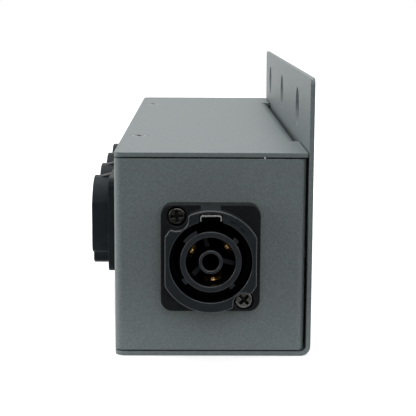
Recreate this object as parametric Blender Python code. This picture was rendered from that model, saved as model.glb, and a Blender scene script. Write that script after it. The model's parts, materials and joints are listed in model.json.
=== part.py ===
"""Power distribution box for lighting rigs.

A sheet-steel case carries one locking power inlet on its near end and four locking outlets along
its front. The back plate rises above the case as a mounting flange with three hook-bolt holes.
X points from the outlets to the back plate, Y along the case away from the inlet, Z up. The origin
is the middle of the footprint, on the surface that the box stands on.
"""

import math

import bmesh
import bpy
from mathutils import Matrix, Vector

MM = 0.001

# Facets
LARGE_SEGMENTS = 32              # round a socket or a panel hole
MEDIUM_SEGMENTS = 20             # round a centre tube
SMALL_SEGMENTS = 12              # round a screw or its bore
BEND_STEPS = 3
CORNER_STEPS = 3
BEZEL_STEPS = 8                  # along each of the bezel's long arcs
RECESS_STEPS = 6                 # round a screw recess in the bezel
FILLET_STEPS = 2
KEY_STEPS = 3
NUT_SIDES = 6
SHARP_ANGLE = 32                 # degrees, edges sharper than this stay sharp
OVERLAP = 0.5 * MM               # how far two solids reach into each other before they are fused

# Clearances
GAP = 0.3 * MM                   # between pieces that touch or sit in each other
END_WALL_GAP = 0.4 * MM          # open joint above and below the end walls

# Case
CASE_WIDTH = 56.8 * MM           # X, outlet panel to the back plate's rear face
CASE_LENGTH = 213.4 * MM         # Y
CASE_HEIGHT = 59.4 * MM          # Z, bottom plate to the cover's top
SHEET = 1.35 * MM                # 1.2 mm steel and its powder coat
CHASSIS_BEND = 1.05 * MM         # inside bend radius of the chassis
COVER_BEND = 2.4 * MM            # inside bend radius of the cover
BASE_BEND = 1.5 * MM             # inside bend radius of the base
BASE_CORNER = 3.0 * MM           # plan radius of the bottom plate's front corners
COVER_CORNER = 2.4 * MM          # plan radius of the cover's front corners
FLANGE_RISE = 21.1 * MM          # mounting flange above the cover
FLANGE_CORNER = 2.0 * MM
RETURN_WIDTH = 7.2 * MM          # end walls' return flanges along the back plate
RETURN_GAP = 0.6 * MM            # open joint between them and the back plate
LIP_WIDTH = 11.0 * MM            # front panel's top and bottom lips
LIP_INSET = 6.0 * MM             # lips start this far from the case's ends
RELIEF = 1.0 * MM                # slit between a bent flange and the sheet beside it
COVER_FLANGE_DEPTH = 11.0 * MM   # cover's rear flange, bent down inside the back plate
COVER_EAR = 31.0 * MM            # flat stretch at each end of the cover's rear edge

# Mounting flange holes, for hook clamps
MOUNT_HOLE_RADIUS = 6.15 * MM
MOUNT_HOLE_FIRST = 44.0 * MM     # from the near end
MOUNT_HOLE_PITCH = 69.5 * MM
MOUNT_HOLE_COUNT = 3
MOUNT_HOLE_HEIGHT = 9.6 * MM     # above the cover

# Connectors: the inlet and the outlets share one panel size
INLET_RISE = 29.9 * MM           # inlet's centre above the floor
OUTLET_RISE = 30.1 * MM          # outlets' centres above the floor
INLET_SETBACK = 27.55 * MM       # inlet's centre from the front panel's face
OUTLET_COUNT = 4
OUTLET_PITCH = 31.4 * MM
CONNECTOR_WIDTH = 28.2 * MM
CONNECTOR_HEIGHT = 30.7 * MM
CONNECTOR_CORNER = 3.3 * MM
GASKET_THICKNESS = 0.9 * MM
FLANGE_FACE = 4.9 * MM           # connector flange's front, in front of the panel
BEZEL_FACE = 10.3 * MM           # bezel's front, in front of the panel
BEZEL_RADIUS = 14.6 * MM
BEZEL_FLAT = 12.86 * MM          # half width between the bezel's flats
BEZEL_FILLET = 1.0 * MM          # where the bezel meets the screw recesses
SCREW_RECESS_RADIUS = 3.15 * MM  # bezel is cut back round each screw
SCREW_OFFSET_U = 9.5 * MM        # half the 19 mm by 24 mm screw pattern
SCREW_OFFSET_V = 12.0 * MM
BARREL_RADIUS = 11.7 * MM        # housing's barrel, through the panel
BARREL_DEPTH = 16.0 * MM         # behind the panel's face
WELL_RADIUS = 11.6 * MM          # socket's mouth
WELL_DEPTH = 7.4 * MM            # depth of the mouth from the bezel's front
THROAT_RADIUS = 10.4 * MM        # barrel's bore behind the mouth
PANEL_HOLE_RADIUS = BARREL_RADIUS + GAP
PAD_WIDTH = 5.8 * MM             # wedge that slopes from the bezel's rim to the flange's top edge
PAD_START = 0.6 * MM             # behind the bezel's front
PAD_SETBACK = 0.1 * MM           # below the flange's top edge

# Latch strike in the keyway at the top of each connector
STRIKE_WIDTH = 6.1 * MM
STRIKE_TOP = 13.2 * MM           # above the connector's centre
STRIKE_LEG = 1.7 * MM
STRIKE_THICKNESS = 0.4 * MM
STRIKE_BEND = 0.4 * MM
STRIKE_RECESS = 0.3 * MM         # strike's front, behind the bezel's
STRIKE_DEPTH = 6.8 * MM

# Contact carriers
RING_OUTER = 8.65 * MM
RING_INNER = 7.0 * MM
TUBE_OUTER = 3.35 * MM
TUBE_INNER = 2.45 * MM
TUBE_DEPTH = 21.0 * MM           # blind bore, from the carrier's front
CARRIER_RECESS = 0.1 * MM        # carrier's front, behind the bezel's
SEAT_THICKNESS = 3.2 * MM        # disc inside the barrel that carries the ring and tube
CAP_THICKNESS = 2.2 * MM         # disc behind the barrel
WEB_THICKNESS = 1.4 * MM
WEB_RECESS = 7.0 * MM            # webs' front, behind the carrier's front
KEY_REACH = 1.0 * MM             # keys on the ring's outside
KEY_RECESS = 0.5 * MM
KEY_LENGTH = 14.0 * MM
INLET_WEBS = (105, 225, 345)
INLET_KEYS = ((115, 143.5), (35, 46), (212, 224), (305, 316))
OUTLET_KEYS = ((115, 143.5), (19, 31), (228, 240), (331, 343))

# Contacts
CONTACT_ANGLES = {"earth": 277, "live": 37, "neutral": 157}
CONTACT_RADIUS = 5.75 * MM
BLADE_WIDTH = 4.6 * MM
BLADE_THICKNESS = 1.0 * MM
BLADE_CHAMFER = 1.6 * MM
BLADE_RECESS = 4.6 * MM          # male blades' tips, behind the carrier's front
FORK_THICKNESS = 1.9 * MM
FORK_SLIT = 0.8 * MM
FORK_SLIT_DEPTH = 9.0 * MM
FORK_RECESS = 2.2 * MM
TAB_END = 29.0 * MM              # rear end of the contacts' tabs, behind the panel's face

# Fasteners
THREAD_RADIUS = 1.5 * MM         # M3
PAN_HEAD_RADIUS = 2.45 * MM
PAN_HEAD_HEIGHT = 1.7 * MM
PAN_HEAD_SIDE = 1.0 * MM         # straight part of the head's height
PAN_HEAD_TOP = 2.0 * MM          # radius of the head's flat top
PAN_SEAT_DEPTH = 2.0 * MM        # head's recess in the connector's flange
PAN_SEAT_RADIUS = 2.8 * MM
PAN_LENGTH = 9.0 * MM
FLUSH_HEAD_RADIUS = 2.85 * MM
FLUSH_LENGTH = 5.0 * MM
FLUSH_SINK = 0.05 * MM           # flush head, below the sheet's face
CROSS_LENGTH = 3.5 * MM          # drive recess, tip to tip
CROSS_FLOOR = 1.3 * MM           # the same at its floor
CROSS_WIDTH = 0.9 * MM
CROSS_DEPTH = 1.3 * MM
COVER_SCREW_SETBACK = 5.2 * MM   # from the front panel's face
COVER_SCREW_FIRST = 46.2 * MM    # from the near end
COVER_SCREW_SPACING = 130.2 * MM
FLANGE_SCREW_DROP = 6.5 * MM     # cover flange's screws, below the cover's top
FLANGE_SCREW_SPACING = 120.0 * MM
RETURN_SCREW_SETBACK = 4.2 * MM  # return flanges' screws, from the case's ends

# Wiring
WIRE_RADIUS = 1.2 * MM
WIRE_SLACK = 6.0 * MM
WIRE_ROUTE_STEPS = 4             # route points between two tabs
WIRE_CURVE_STEPS = 2             # points read from the curve between two route points
WIRE_STRAIGHT = 2.5 * MM         # straight run behind a tab
STUD_RADIUS = 2.0 * MM
STUD_LENGTH = 9.0 * MM
STUD_SETBACK = 22.0 * MM         # from the far end
STUD_HEIGHT = 18.0 * MM
NUT_RADIUS = 4.0 * MM
NUT_THICKNESS = 3.2 * MM

# Places worked out from the sizes
X_FRONT = (BEZEL_FACE - CASE_WIDTH) / 2
X_BACK = (BEZEL_FACE + CASE_WIDTH) / 2
Y_NEAR = (BEZEL_FACE - CASE_LENGTH) / 2
Y_FAR = (BEZEL_FACE + CASE_LENGTH) / 2
X_INSIDE = X_BACK - SHEET - GAP  # cover's rear face, inside the back plate
X_RETURN = X_BACK - SHEET - RETURN_GAP
Z_TOP = CASE_HEIGHT + FLANGE_RISE
Y_FIRST_OUTLET = (Y_NEAR + Y_FAR - OUTLET_PITCH * (OUTLET_COUNT - 1)) / 2
GASKET_BACK = GAP
FLANGE_BACK = GASKET_BACK + GASKET_THICKNESS + GAP
PAN_SEAT = FLANGE_FACE - PAN_SEAT_DEPTH
CARRIER_FACE = BEZEL_FACE - CARRIER_RECESS
STRIKE_FACE = BEZEL_FACE - STRIKE_RECESS
CAP_FRONT = -BARREL_DEPTH - GAP
CAP_BACK = CAP_FRONT - CAP_THICKNESS
SEAT_FRONT = CAP_FRONT + SEAT_THICKNESS


# Flat outlines

def arc(centre, radius, start, end, steps):
    """Points on a circle from one angle to another, in degrees."""
    points = []
    for step in range(steps + 1):
        angle = math.radians(start + (end - start) * step / steps)
        points.append(centre + Vector((math.cos(angle), math.sin(angle))) * radius)
    return points


def rectangle(low, high):
    """Corners of a rectangle, counter-clockwise."""
    return [Vector(low), Vector((high[0], low[1])), Vector(high), Vector((low[0], high[1]))]


def rounded_rectangle(width, height, radius):
    """Outline centred on the origin, with round corners."""
    points = []
    for quarter, (side_u, side_v) in enumerate(((1, 1), (-1, 1), (-1, -1), (1, -1))):
        centre = Vector((side_u * (width / 2 - radius), side_v * (height / 2 - radius)))
        points += arc(centre, radius, 90 * quarter, 90 * quarter + 90, CORNER_STEPS)
    return points


def bent_sheet(path, inner_radius):
    """Outline of a sheet whose outer face follows path. The sheet and its bends lie on the left."""
    def left_of(start, end):
        along = (end - start).normalized()
        return Vector((-along.y, along.x))

    path = [Vector(point) for point in path]
    outer = [path[0]]
    inner = [path[0] + left_of(path[0], path[1]) * SHEET]
    outer_radius = inner_radius + SHEET
    for before, corner, after in zip(path, path[1:], path[2:]):
        first = left_of(before, corner)
        second = left_of(corner, after)
        centre = corner + (first + second) * outer_radius / (1 + first.dot(second))
        for step in range(BEND_STEPS + 1):
            turn = Matrix.Rotation(math.radians(90) * step / BEND_STEPS, 2)
            away = turn @ -first
            outer.append(centre + away * outer_radius)
            inner.append(centre + away * inner_radius)
    outer.append(path[-1])
    inner.append(path[-1] + left_of(path[-2], path[-1]) * SHEET)
    return outer + inner[::-1]


def circle_crossing(centre_a, radius_a, centre_b, radius_b, side):
    """One of the two points at the given distances from two centres, on the chosen side."""
    between = centre_b - centre_a
    distance = between.length
    along = (distance ** 2 + radius_a ** 2 - radius_b ** 2) / (2 * distance)
    across = math.sqrt(radius_a ** 2 - along ** 2)
    unit = between / distance
    return centre_a + unit * along + Vector((-unit.y, unit.x)) * across * side


def angle_of(vector):
    return math.degrees(math.atan2(vector.y, vector.x))


def recess_run(screw):
    """The bezel's outline past one screw: fillet, arc round the screw, fillet."""
    origin = Vector((0, 0))
    entry = circle_crossing(origin, BEZEL_RADIUS - BEZEL_FILLET, screw,
                            SCREW_RECESS_RADIUS + BEZEL_FILLET, -1)
    leave = circle_crossing(origin, BEZEL_RADIUS - BEZEL_FILLET, screw,
                            SCREW_RECESS_RADIUS + BEZEL_FILLET, 1)
    entry_screw = angle_of(screw - entry)
    leave_screw = angle_of(screw - leave)
    entry_start = angle_of(entry)
    leave_end = angle_of(leave)
    round_start = angle_of(entry - screw)
    round_end = angle_of(leave - screw)
    while entry_screw < entry_start:
        entry_screw += 360
    while leave_end < leave_screw:
        leave_end += 360
    while round_end > round_start:
        round_end -= 360
    return (arc(entry, BEZEL_FILLET, entry_start, entry_screw, FILLET_STEPS)
            + arc(screw, SCREW_RECESS_RADIUS, round_start, round_end, RECESS_STEPS)[1:-1]
            + arc(leave, BEZEL_FILLET, leave_screw, leave_end, FILLET_STEPS))


def bezel_outline():
    """A circle with two flats and a recess round each of the two screws, counter-clockwise."""
    origin = Vector((0, 0))
    flat = math.degrees(math.acos(BEZEL_FLAT / BEZEL_RADIUS))
    upper = recess_run(Vector((-SCREW_OFFSET_U, SCREW_OFFSET_V)))
    lower = recess_run(Vector((SCREW_OFFSET_U, -SCREW_OFFSET_V)))
    points = arc(origin, BEZEL_RADIUS, flat, angle_of(upper[0]), BEZEL_STEPS)[:-1]
    points += upper
    points += arc(origin, BEZEL_RADIUS, 180 - flat, 180 + flat, 1)[:1]
    points += arc(origin, BEZEL_RADIUS, 180 + flat, angle_of(lower[0]) + 360, BEZEL_STEPS)[:-1]
    points += lower
    points += arc(origin, BEZEL_RADIUS, -flat, flat, 1)[:1]
    return points


# Solids

def finished(bm, name="solid"):
    """Turns a bmesh into a mesh with its faces pointing out."""
    bmesh.ops.recalc_face_normals(bm, faces=bm.faces)
    mesh = bpy.data.meshes.new(name)
    bm.to_mesh(mesh)
    bm.free()
    return mesh


def prism(outline, low, high, plane="XY", bevels=()):
    """Extrudes an outline drawn in a plane. Each bevel rounds the corner edges that its test picks."""
    def place(point, height):
        if plane == "XY":
            return Vector((point[0], point[1], height))
        if plane == "XZ":
            return Vector((point[0], height, point[1]))
        return Vector((height, point[0], point[1]))

    bm = bmesh.new()
    face = bm.faces.new([bm.verts.new(place(point, low)) for point in outline])
    grown = bmesh.ops.extrude_face_region(bm, geom=[face])
    moved = [item for item in grown["geom"] if isinstance(item, bmesh.types.BMVert)]
    bmesh.ops.translate(bm, verts=moved, vec=place((0, 0), high - low))
    for radius, picks in bevels:
        edges = [edge for edge in bm.edges if picks(*[vert.co for vert in edge.verts])]
        bmesh.ops.bevel(bm, geom=edges, offset=radius, segments=CORNER_STEPS, profile=0.5,
                        affect="EDGES")
    return finished(bm)


def cylinder(radius, low, high, segments=LARGE_SEGMENTS, top_radius=None):
    """A cylinder or cone about the Z axis."""
    bm = bmesh.new()
    bmesh.ops.create_cone(bm, cap_ends=True, segments=segments, radius1=radius,
                          radius2=radius if top_radius is None else top_radius,
                          depth=high - low, matrix=Matrix.Translation((0, 0, (low + high) / 2)))
    return finished(bm)


def turned(outline, segments):
    """Spins an outline about the Z axis. Its first and last points lie on the axis."""
    bm = bmesh.new()
    verts = [bm.verts.new((point[0], 0, point[1])) for point in outline]
    edges = [bm.edges.new(pair) for pair in zip(verts, verts[1:])]
    bmesh.ops.spin(bm, geom=verts + edges, cent=(0, 0, 0), axis=(0, 0, 1),
                   angle=math.radians(360), steps=segments, use_merge=True)
    bmesh.ops.remove_doubles(bm, verts=bm.verts, dist=0.001 * MM)
    return finished(bm)


def moved(mesh, matrix):
    copy = mesh.copy()
    copy.transform(matrix)
    return copy


def joined(meshes):
    """Several solids that stay apart, as one mesh."""
    bm = bmesh.new()
    for mesh in meshes:
        bm.from_mesh(mesh)
    return finished(bm)


def combined(base, tool, operation):
    """The exact Boolean of two meshes."""
    base_object = bpy.data.objects.new("boolean_base", base)
    tool_object = bpy.data.objects.new("boolean_tool", tool)
    collection = bpy.context.scene.collection
    collection.objects.link(base_object)
    collection.objects.link(tool_object)
    modifier = base_object.modifiers.new("boolean", "BOOLEAN")
    modifier.object = tool_object
    modifier.operation = operation
    modifier.solver = "EXACT"
    depsgraph = bpy.context.evaluated_depsgraph_get()
    result = bpy.data.meshes.new_from_object(base_object.evaluated_get(depsgraph))
    bpy.data.objects.remove(base_object)
    bpy.data.objects.remove(tool_object)
    return result


def fused(base, *tools):
    for tool in tools:
        base = combined(base, tool, "UNION")
    return base


def cut(base, *tools):
    for tool in tools:
        base = combined(base, tool, "DIFFERENCE")
    return base


def sector_key(start, end, low, high):
    """A key on the ring's outside between two angles, sunk into the ring."""
    origin = Vector((0, 0))
    outline = arc(origin, RING_OUTER + KEY_REACH, start, end, KEY_STEPS)
    outline += arc(origin, RING_OUTER - OVERLAP, end, start, KEY_STEPS)
    return prism(outline, low, high)


# Materials

def principled(name, colour, roughness, metallic=0.0):
    material = bpy.data.materials.new(name)
    material.use_nodes = True
    shader = material.node_tree.nodes["Principled BSDF"]
    shader.inputs["Base Color"].default_value = (*colour, 1.0)
    shader.inputs["Roughness"].default_value = roughness
    shader.inputs["Metallic"].default_value = metallic
    material.diffuse_color = (*colour, 1.0)
    return material


def make_materials():
    return {
        "powder_coat": principled("powder_coat", (0.11, 0.128, 0.13), 0.5),
        "black_plastic": principled("black_plastic", (0.008, 0.009, 0.011), 0.4),
        "gasket_rubber": principled("gasket_rubber", (0.010, 0.010, 0.011), 0.7),
        "strike_steel": principled("strike_steel", (0.55, 0.55, 0.55), 0.3, 1.0),
        "dark_nickel": principled("dark_nickel", (0.13, 0.128, 0.125), 0.3, 1.0),
        "contact_brass": principled("contact_brass", (0.72, 0.50, 0.24), 0.3, 1.0),
        "brown_wire": principled("brown_wire", (0.12, 0.045, 0.02), 0.5),
        "blue_wire": principled("blue_wire", (0.03, 0.10, 0.42), 0.5),
        "earth_wire": principled("earth_wire", (0.25, 0.42, 0.03), 0.5),
    }


def add_object(name, mesh, material, frame=None):
    """Places a sub-part. Connector pieces hang from their connector's empty."""
    if not mesh.materials:
        mesh.materials.append(material)
    mesh.shade_smooth()
    mesh.set_sharp_from_angle(angle=math.radians(SHARP_ANGLE))
    item = bpy.data.objects.new(name, mesh)
    bpy.context.scene.collection.objects.link(item)
    item.parent = frame
    return item


# Connector frames: U to the right and V up as the connector is faced, W out of the panel

def inlet_matrix():
    place = Matrix.Translation((X_FRONT + INLET_SETBACK, Y_NEAR, INLET_RISE))
    return place @ Matrix.Rotation(math.radians(90), 4, "X")


def outlet_matrix(index):
    place = Matrix.Translation((X_FRONT, Y_FIRST_OUTLET + index * OUTLET_PITCH, OUTLET_RISE))
    turn = Matrix.Rotation(math.radians(-90), 4, "Z") @ Matrix.Rotation(math.radians(90), 4, "X")
    return place @ turn


def outlet_names():
    return [f"outlet_{index + 1}" for index in range(OUTLET_COUNT)]


def add_frame(name, matrix):
    frame = bpy.data.objects.new(name, None)
    bpy.context.scene.collection.objects.link(frame)
    frame.matrix_world = matrix
    return frame


def screw_places():
    """Upper left and lower right, as the connector is faced."""
    return (Vector((-SCREW_OFFSET_U, SCREW_OFFSET_V, 0)), Vector((SCREW_OFFSET_U, -SCREW_OFFSET_V, 0)))


def screw_bores(low, high, radius):
    bore = cylinder(radius, low, high, SMALL_SEGMENTS)
    return joined([moved(bore, Matrix.Translation(place)) for place in screw_places()])


# Sheet metal

def panel_cuts():
    """Holes through a panel for each connector's barrel and screws."""
    reach = 3 * SHEET
    hole = joined([cylinder(PANEL_HOLE_RADIUS, -reach, reach),
                   screw_bores(-reach, reach, THREAD_RADIUS + GAP)])
    matrices = [inlet_matrix()] + [outlet_matrix(index) for index in range(OUTLET_COUNT)]
    return joined([moved(hole, matrix) for matrix in matrices])


def flush_screw_places():
    """Each flush screw's name and matrix, its head at the local origin and its shank along -Z."""
    places = {}
    over = Matrix.Rotation(math.radians(180), 4, "X")
    to_back = Matrix.Rotation(math.radians(90), 4, "Y")
    for index in range(2):
        y = Y_NEAR + COVER_SCREW_FIRST + index * COVER_SCREW_SPACING
        x = X_FRONT + COVER_SCREW_SETBACK
        places[f"cover_screw_{index + 1}"] = Matrix.Translation((x, y, CASE_HEIGHT))
        places[f"bottom_screw_{index + 1}"] = Matrix.Translation((x, y, 0)) @ over
        side = 2 * index - 1
        y = (Y_NEAR + Y_FAR + side * FLANGE_SCREW_SPACING) / 2
        drop = CASE_HEIGHT - FLANGE_SCREW_DROP
        places[f"cover_flange_screw_{index + 1}"] = Matrix.Translation((X_BACK, y, drop)) @ to_back
        y = (Y_NEAR + RETURN_SCREW_SETBACK, Y_FAR - RETURN_SCREW_SETBACK)[index]
        middle = CASE_HEIGHT / 2
        places[f"end_wall_screw_{index + 1}"] = Matrix.Translation((X_BACK, y, middle)) @ to_back
    return places


def flush_screw_cuts(kinds):
    """Countersunk holes through two sheets, for the screws whose names start with one of kinds."""
    wide = FLUSH_HEAD_RADIUS + GAP
    narrow = THREAD_RADIUS + GAP
    outline = [Vector((0, -FLUSH_LENGTH)), Vector((narrow, -FLUSH_LENGTH)), Vector((narrow, -SHEET)),
               Vector((wide, 0)), Vector((wide, SHEET)), Vector((0, SHEET))]
    tool = turned(outline, SMALL_SEGMENTS)
    return joined([moved(tool, matrix) for name, matrix in flush_screw_places().items()
                   if name.startswith(kinds)])


def base_bend_relief():
    """Rounds what stands in the base's bend, so that it follows the bend at the usual gap."""
    centre = Vector((X_BACK - SHEET - BASE_BEND, SHEET + BASE_BEND))
    radius = BASE_BEND - GAP
    reach = radius + SHEET
    outline = arc(centre, radius, 0, -90, CORNER_STEPS)
    outline += [centre + Vector((0, -reach)), centre + Vector((reach, -reach)),
                centre + Vector((reach, 0))]
    return prism(outline, Y_NEAR - SHEET, Y_FAR + SHEET, "XZ")


def chassis():
    """Front panel, both end walls, their return flanges and the front panel's two lips."""
    wall_low = SHEET + END_WALL_GAP
    wall_high = CASE_HEIGHT - SHEET - END_WALL_GAP
    plan = [(X_RETURN, Y_FAR - RETURN_WIDTH), (X_RETURN, Y_FAR), (X_FRONT, Y_FAR),
            (X_FRONT, Y_NEAR), (X_RETURN, Y_NEAR), (X_RETURN, Y_NEAR + RETURN_WIDTH)]
    walls = prism(bent_sheet(plan, CHASSIS_BEND), wall_low, wall_high)

    lip_low = SHEET + GAP
    lip_high = CASE_HEIGHT - SHEET - GAP
    bend = CHASSIS_BEND + SHEET
    root = bend + 2 * SHEET
    near = Y_NEAR + LIP_INSET
    far = Y_FAR - LIP_INSET
    slit = bend + OVERLAP
    for low, high in ((wall_low - SHEET, lip_low + slit), (lip_high - slit, wall_high + SHEET)):
        strip = rectangle((X_FRONT - SHEET, near), (X_FRONT + 2 * SHEET, far))
        walls = cut(walls, prism(strip, low, high))
    upper = [(X_FRONT + LIP_WIDTH, lip_high), (X_FRONT, lip_high), (X_FRONT, lip_high - root)]
    lower = [(X_FRONT, lip_low + root), (X_FRONT, lip_low), (X_FRONT + LIP_WIDTH, lip_low)]
    for path in (upper, lower):
        lip = prism(bent_sheet(path, CHASSIS_BEND), near + RELIEF, far - RELIEF, "XZ")
        walls = fused(walls, lip)
    screws = ("cover_screw", "bottom_screw", "end_wall_screw")
    return cut(walls, base_bend_relief(), panel_cuts(), flush_screw_cuts(screws))


def base():
    """Bottom plate and back plate, bent from one sheet, with the mounting flange and its holes."""
    def bottom_corner(a, b):
        return a.x < X_FRONT + SHEET / 2 and b.x < X_FRONT + SHEET / 2 and a.y == b.y

    def flange_corner(a, b):
        return a.z > Z_TOP - SHEET / 2 and b.z > Z_TOP - SHEET / 2 and a.y == b.y

    path = [(X_FRONT, 0), (X_BACK, 0), (X_BACK, Z_TOP)]
    sheet = prism(bent_sheet(path, BASE_BEND), Y_NEAR, Y_FAR, "XZ",
                  [(BASE_CORNER, bottom_corner), (FLANGE_CORNER, flange_corner)])
    hole = cylinder(MOUNT_HOLE_RADIUS, -2 * SHEET, 2 * SHEET)
    sideways = Matrix.Rotation(math.radians(90), 4, "Y")
    holes = []
    for index in range(MOUNT_HOLE_COUNT):
        y = Y_NEAR + MOUNT_HOLE_FIRST + index * MOUNT_HOLE_PITCH
        place = Matrix.Translation((X_BACK - SHEET / 2, y, CASE_HEIGHT + MOUNT_HOLE_HEIGHT))
        holes.append(moved(hole, place @ sideways))
    screws = ("bottom_screw", "cover_flange_screw", "end_wall_screw")
    return cut(sheet, joined(holes), flush_screw_cuts(screws))


def cover():
    """Flat top with a rear flange bent down inside the back plate, except at its two ends."""
    def front_corner(a, b):
        return a.x < X_FRONT + SHEET / 2 and b.x < X_FRONT + SHEET / 2 and a.y == b.y

    bottom = CASE_HEIGHT - SHEET
    plate = prism(rectangle((X_FRONT, Y_NEAR), (X_INSIDE, Y_FAR)), bottom, CASE_HEIGHT,
                  bevels=[(COVER_CORNER, front_corner)])
    bend = COVER_BEND + SHEET
    near = Y_NEAR + COVER_EAR
    far = Y_FAR - COVER_EAR
    strip = rectangle((X_INSIDE - bend, near), (X_INSIDE + SHEET, far))
    plate = cut(plate, prism(strip, bottom - SHEET, CASE_HEIGHT + SHEET))
    path = [(X_INSIDE, CASE_HEIGHT - COVER_FLANGE_DEPTH), (X_INSIDE, CASE_HEIGHT),
            (X_INSIDE - bend - 2 * SHEET, CASE_HEIGHT)]
    flange = prism(bent_sheet(path, COVER_BEND), near + RELIEF, far - RELIEF, "XZ")
    return cut(fused(plate, flange), flush_screw_cuts(("cover_screw", "cover_flange_screw")))


# Connector pieces, drawn in their connector's frame

def gasket():
    outline = rounded_rectangle(CONNECTOR_WIDTH, CONNECTOR_HEIGHT, CONNECTOR_CORNER)
    sheet = prism(outline, GASKET_BACK, GASKET_BACK + GASKET_THICKNESS)
    return cut(sheet, cylinder(PANEL_HOLE_RADIUS, -GAP, FLANGE_FACE),
               screw_bores(-GAP, FLANGE_FACE, THREAD_RADIUS + GAP))


def housing():
    """Flange, bezel and barrel with the socket's mouth, keyway and screw recesses."""
    flange = prism(rounded_rectangle(CONNECTOR_WIDTH, CONNECTOR_HEIGHT, CONNECTOR_CORNER),
                   FLANGE_BACK, FLANGE_FACE)
    bezel = prism(bezel_outline(), FLANGE_FACE - OVERLAP, BEZEL_FACE)
    pad_low = FLANGE_FACE - OVERLAP
    pad_start = BEZEL_FACE - PAD_START
    pad_top = CONNECTOR_HEIGHT / 2 - PAD_SETBACK
    side = [Vector((0, pad_low)), Vector((pad_top, pad_low)), Vector((pad_top, FLANGE_FACE)),
            Vector((BEZEL_RADIUS - OVERLAP, pad_start)), Vector((0, pad_start))]
    pad = prism(side, -PAD_WIDTH / 2, PAD_WIDTH / 2, "YZ")
    barrel = cylinder(BARREL_RADIUS, -BARREL_DEPTH, FLANGE_FACE - OVERLAP)
    body = fused(flange, bezel, pad, barrel)

    mouth_floor = BEZEL_FACE - WELL_DEPTH
    beyond = BEZEL_FACE + SHEET
    mouth = cylinder(WELL_RADIUS, mouth_floor, beyond)
    throat = cylinder(THROAT_RADIUS, -BARREL_DEPTH - SHEET, beyond)
    half = STRIKE_WIDTH / 2 + GAP
    keyway = prism(rectangle((-half, WELL_RADIUS / 2), (half, STRIKE_TOP + GAP)),
                   STRIKE_FACE - STRIKE_DEPTH - GAP, beyond)
    heads = screw_bores(PAN_SEAT, beyond, PAN_SEAT_RADIUS)
    shanks = screw_bores(-SHEET, beyond, THREAD_RADIUS + GAP)
    return cut(body, mouth, throat, keyway, heads, shanks)


def strike():
    """Bent steel strip lining the keyway's top and sides, for the plug's latch."""
    half = STRIKE_WIDTH / 2
    low = STRIKE_TOP - STRIKE_LEG
    radius = STRIKE_BEND + STRIKE_THICKNESS
    outer = [Vector((half, low))]
    outer += arc(Vector((half - radius, STRIKE_TOP - radius)), radius, 0, 90, CORNER_STEPS)
    outer += arc(Vector((radius - half, STRIKE_TOP - radius)), radius, 90, 180, CORNER_STEPS)
    outer += [Vector((-half, low))]
    inner = [Vector((half - STRIKE_THICKNESS, low))]
    inner += arc(Vector((half - radius, STRIKE_TOP - radius)), STRIKE_BEND, 0, 90, CORNER_STEPS)
    inner += arc(Vector((radius - half, STRIKE_TOP - radius)), STRIKE_BEND, 90, 180, CORNER_STEPS)
    inner += [Vector((STRIKE_THICKNESS - half, low))]
    return prism(outer + inner[::-1], STRIKE_FACE - STRIKE_DEPTH, STRIKE_FACE)


def contact_turn(angle):
    """Turns a contact drawn above the axis to its place on the contact circle."""
    return Matrix.Rotation(math.radians(angle - 90), 4, "Z")


def contact_slots(width, thickness, low, high):
    outline = rectangle((-width / 2, CONTACT_RADIUS - thickness / 2),
                        (width / 2, CONTACT_RADIUS + thickness / 2))
    slot = prism(outline, low, high)
    return joined([moved(slot, contact_turn(angle)) for angle in CONTACT_ANGLES.values()])


def carrier_discs():
    """The carrier's seat inside the barrel and its cap behind it."""
    seat = cylinder(THROAT_RADIUS - GAP, CAP_FRONT - SHEET / 2, SEAT_FRONT)
    return fused(cylinder(BARREL_RADIUS, CAP_BACK, CAP_FRONT), seat)


def add_keys(body, keys):
    high = CARRIER_FACE - KEY_RECESS
    for start, end in keys:
        body = fused(body, sector_key(start, end, high - KEY_LENGTH, high))
    return body


def inlet_carrier():
    """Male carrier: a ring and a tube joined by three webs, open between them for the blades."""
    sunk = SEAT_FRONT - OVERLAP
    ring = cylinder(RING_OUTER, sunk, CARRIER_FACE)
    ring = cut(ring, cylinder(RING_INNER, SEAT_FRONT, CARRIER_FACE + SHEET))
    tube = cylinder(TUBE_OUTER, sunk, CARRIER_FACE, MEDIUM_SEGMENTS)
    web = prism(rectangle((-WEB_THICKNESS / 2, TUBE_INNER + OVERLAP),
                          (WEB_THICKNESS / 2, RING_INNER + OVERLAP)), sunk, CARRIER_FACE - WEB_RECESS)
    webs = [moved(web, contact_turn(angle)) for angle in INLET_WEBS]
    body = fused(carrier_discs(), ring, tube, *webs)
    body = add_keys(body, INLET_KEYS)
    bore = cylinder(TUBE_INNER, CARRIER_FACE - TUBE_DEPTH, CARRIER_FACE + SHEET, MEDIUM_SEGMENTS)
    slots = contact_slots(BLADE_WIDTH + 2 * GAP, BLADE_THICKNESS + 2 * GAP, CAP_BACK - SHEET, 0)
    return cut(body, bore, slots)


def outlet_carrier():
    """Female carrier: a solid core with a centre bore and three slots that hold the forks."""
    core = cylinder(RING_OUTER, SEAT_FRONT - OVERLAP, CARRIER_FACE)
    body = add_keys(fused(carrier_discs(), core), OUTLET_KEYS)
    bore = cylinder(TUBE_INNER, CARRIER_FACE - TUBE_DEPTH, CARRIER_FACE + SHEET, MEDIUM_SEGMENTS)
    slots = contact_slots(BLADE_WIDTH + 2 * GAP, FORK_THICKNESS + 2 * GAP,
                          CAP_BACK - SHEET, CARRIER_FACE + SHEET)
    return cut(body, bore, slots)


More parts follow.
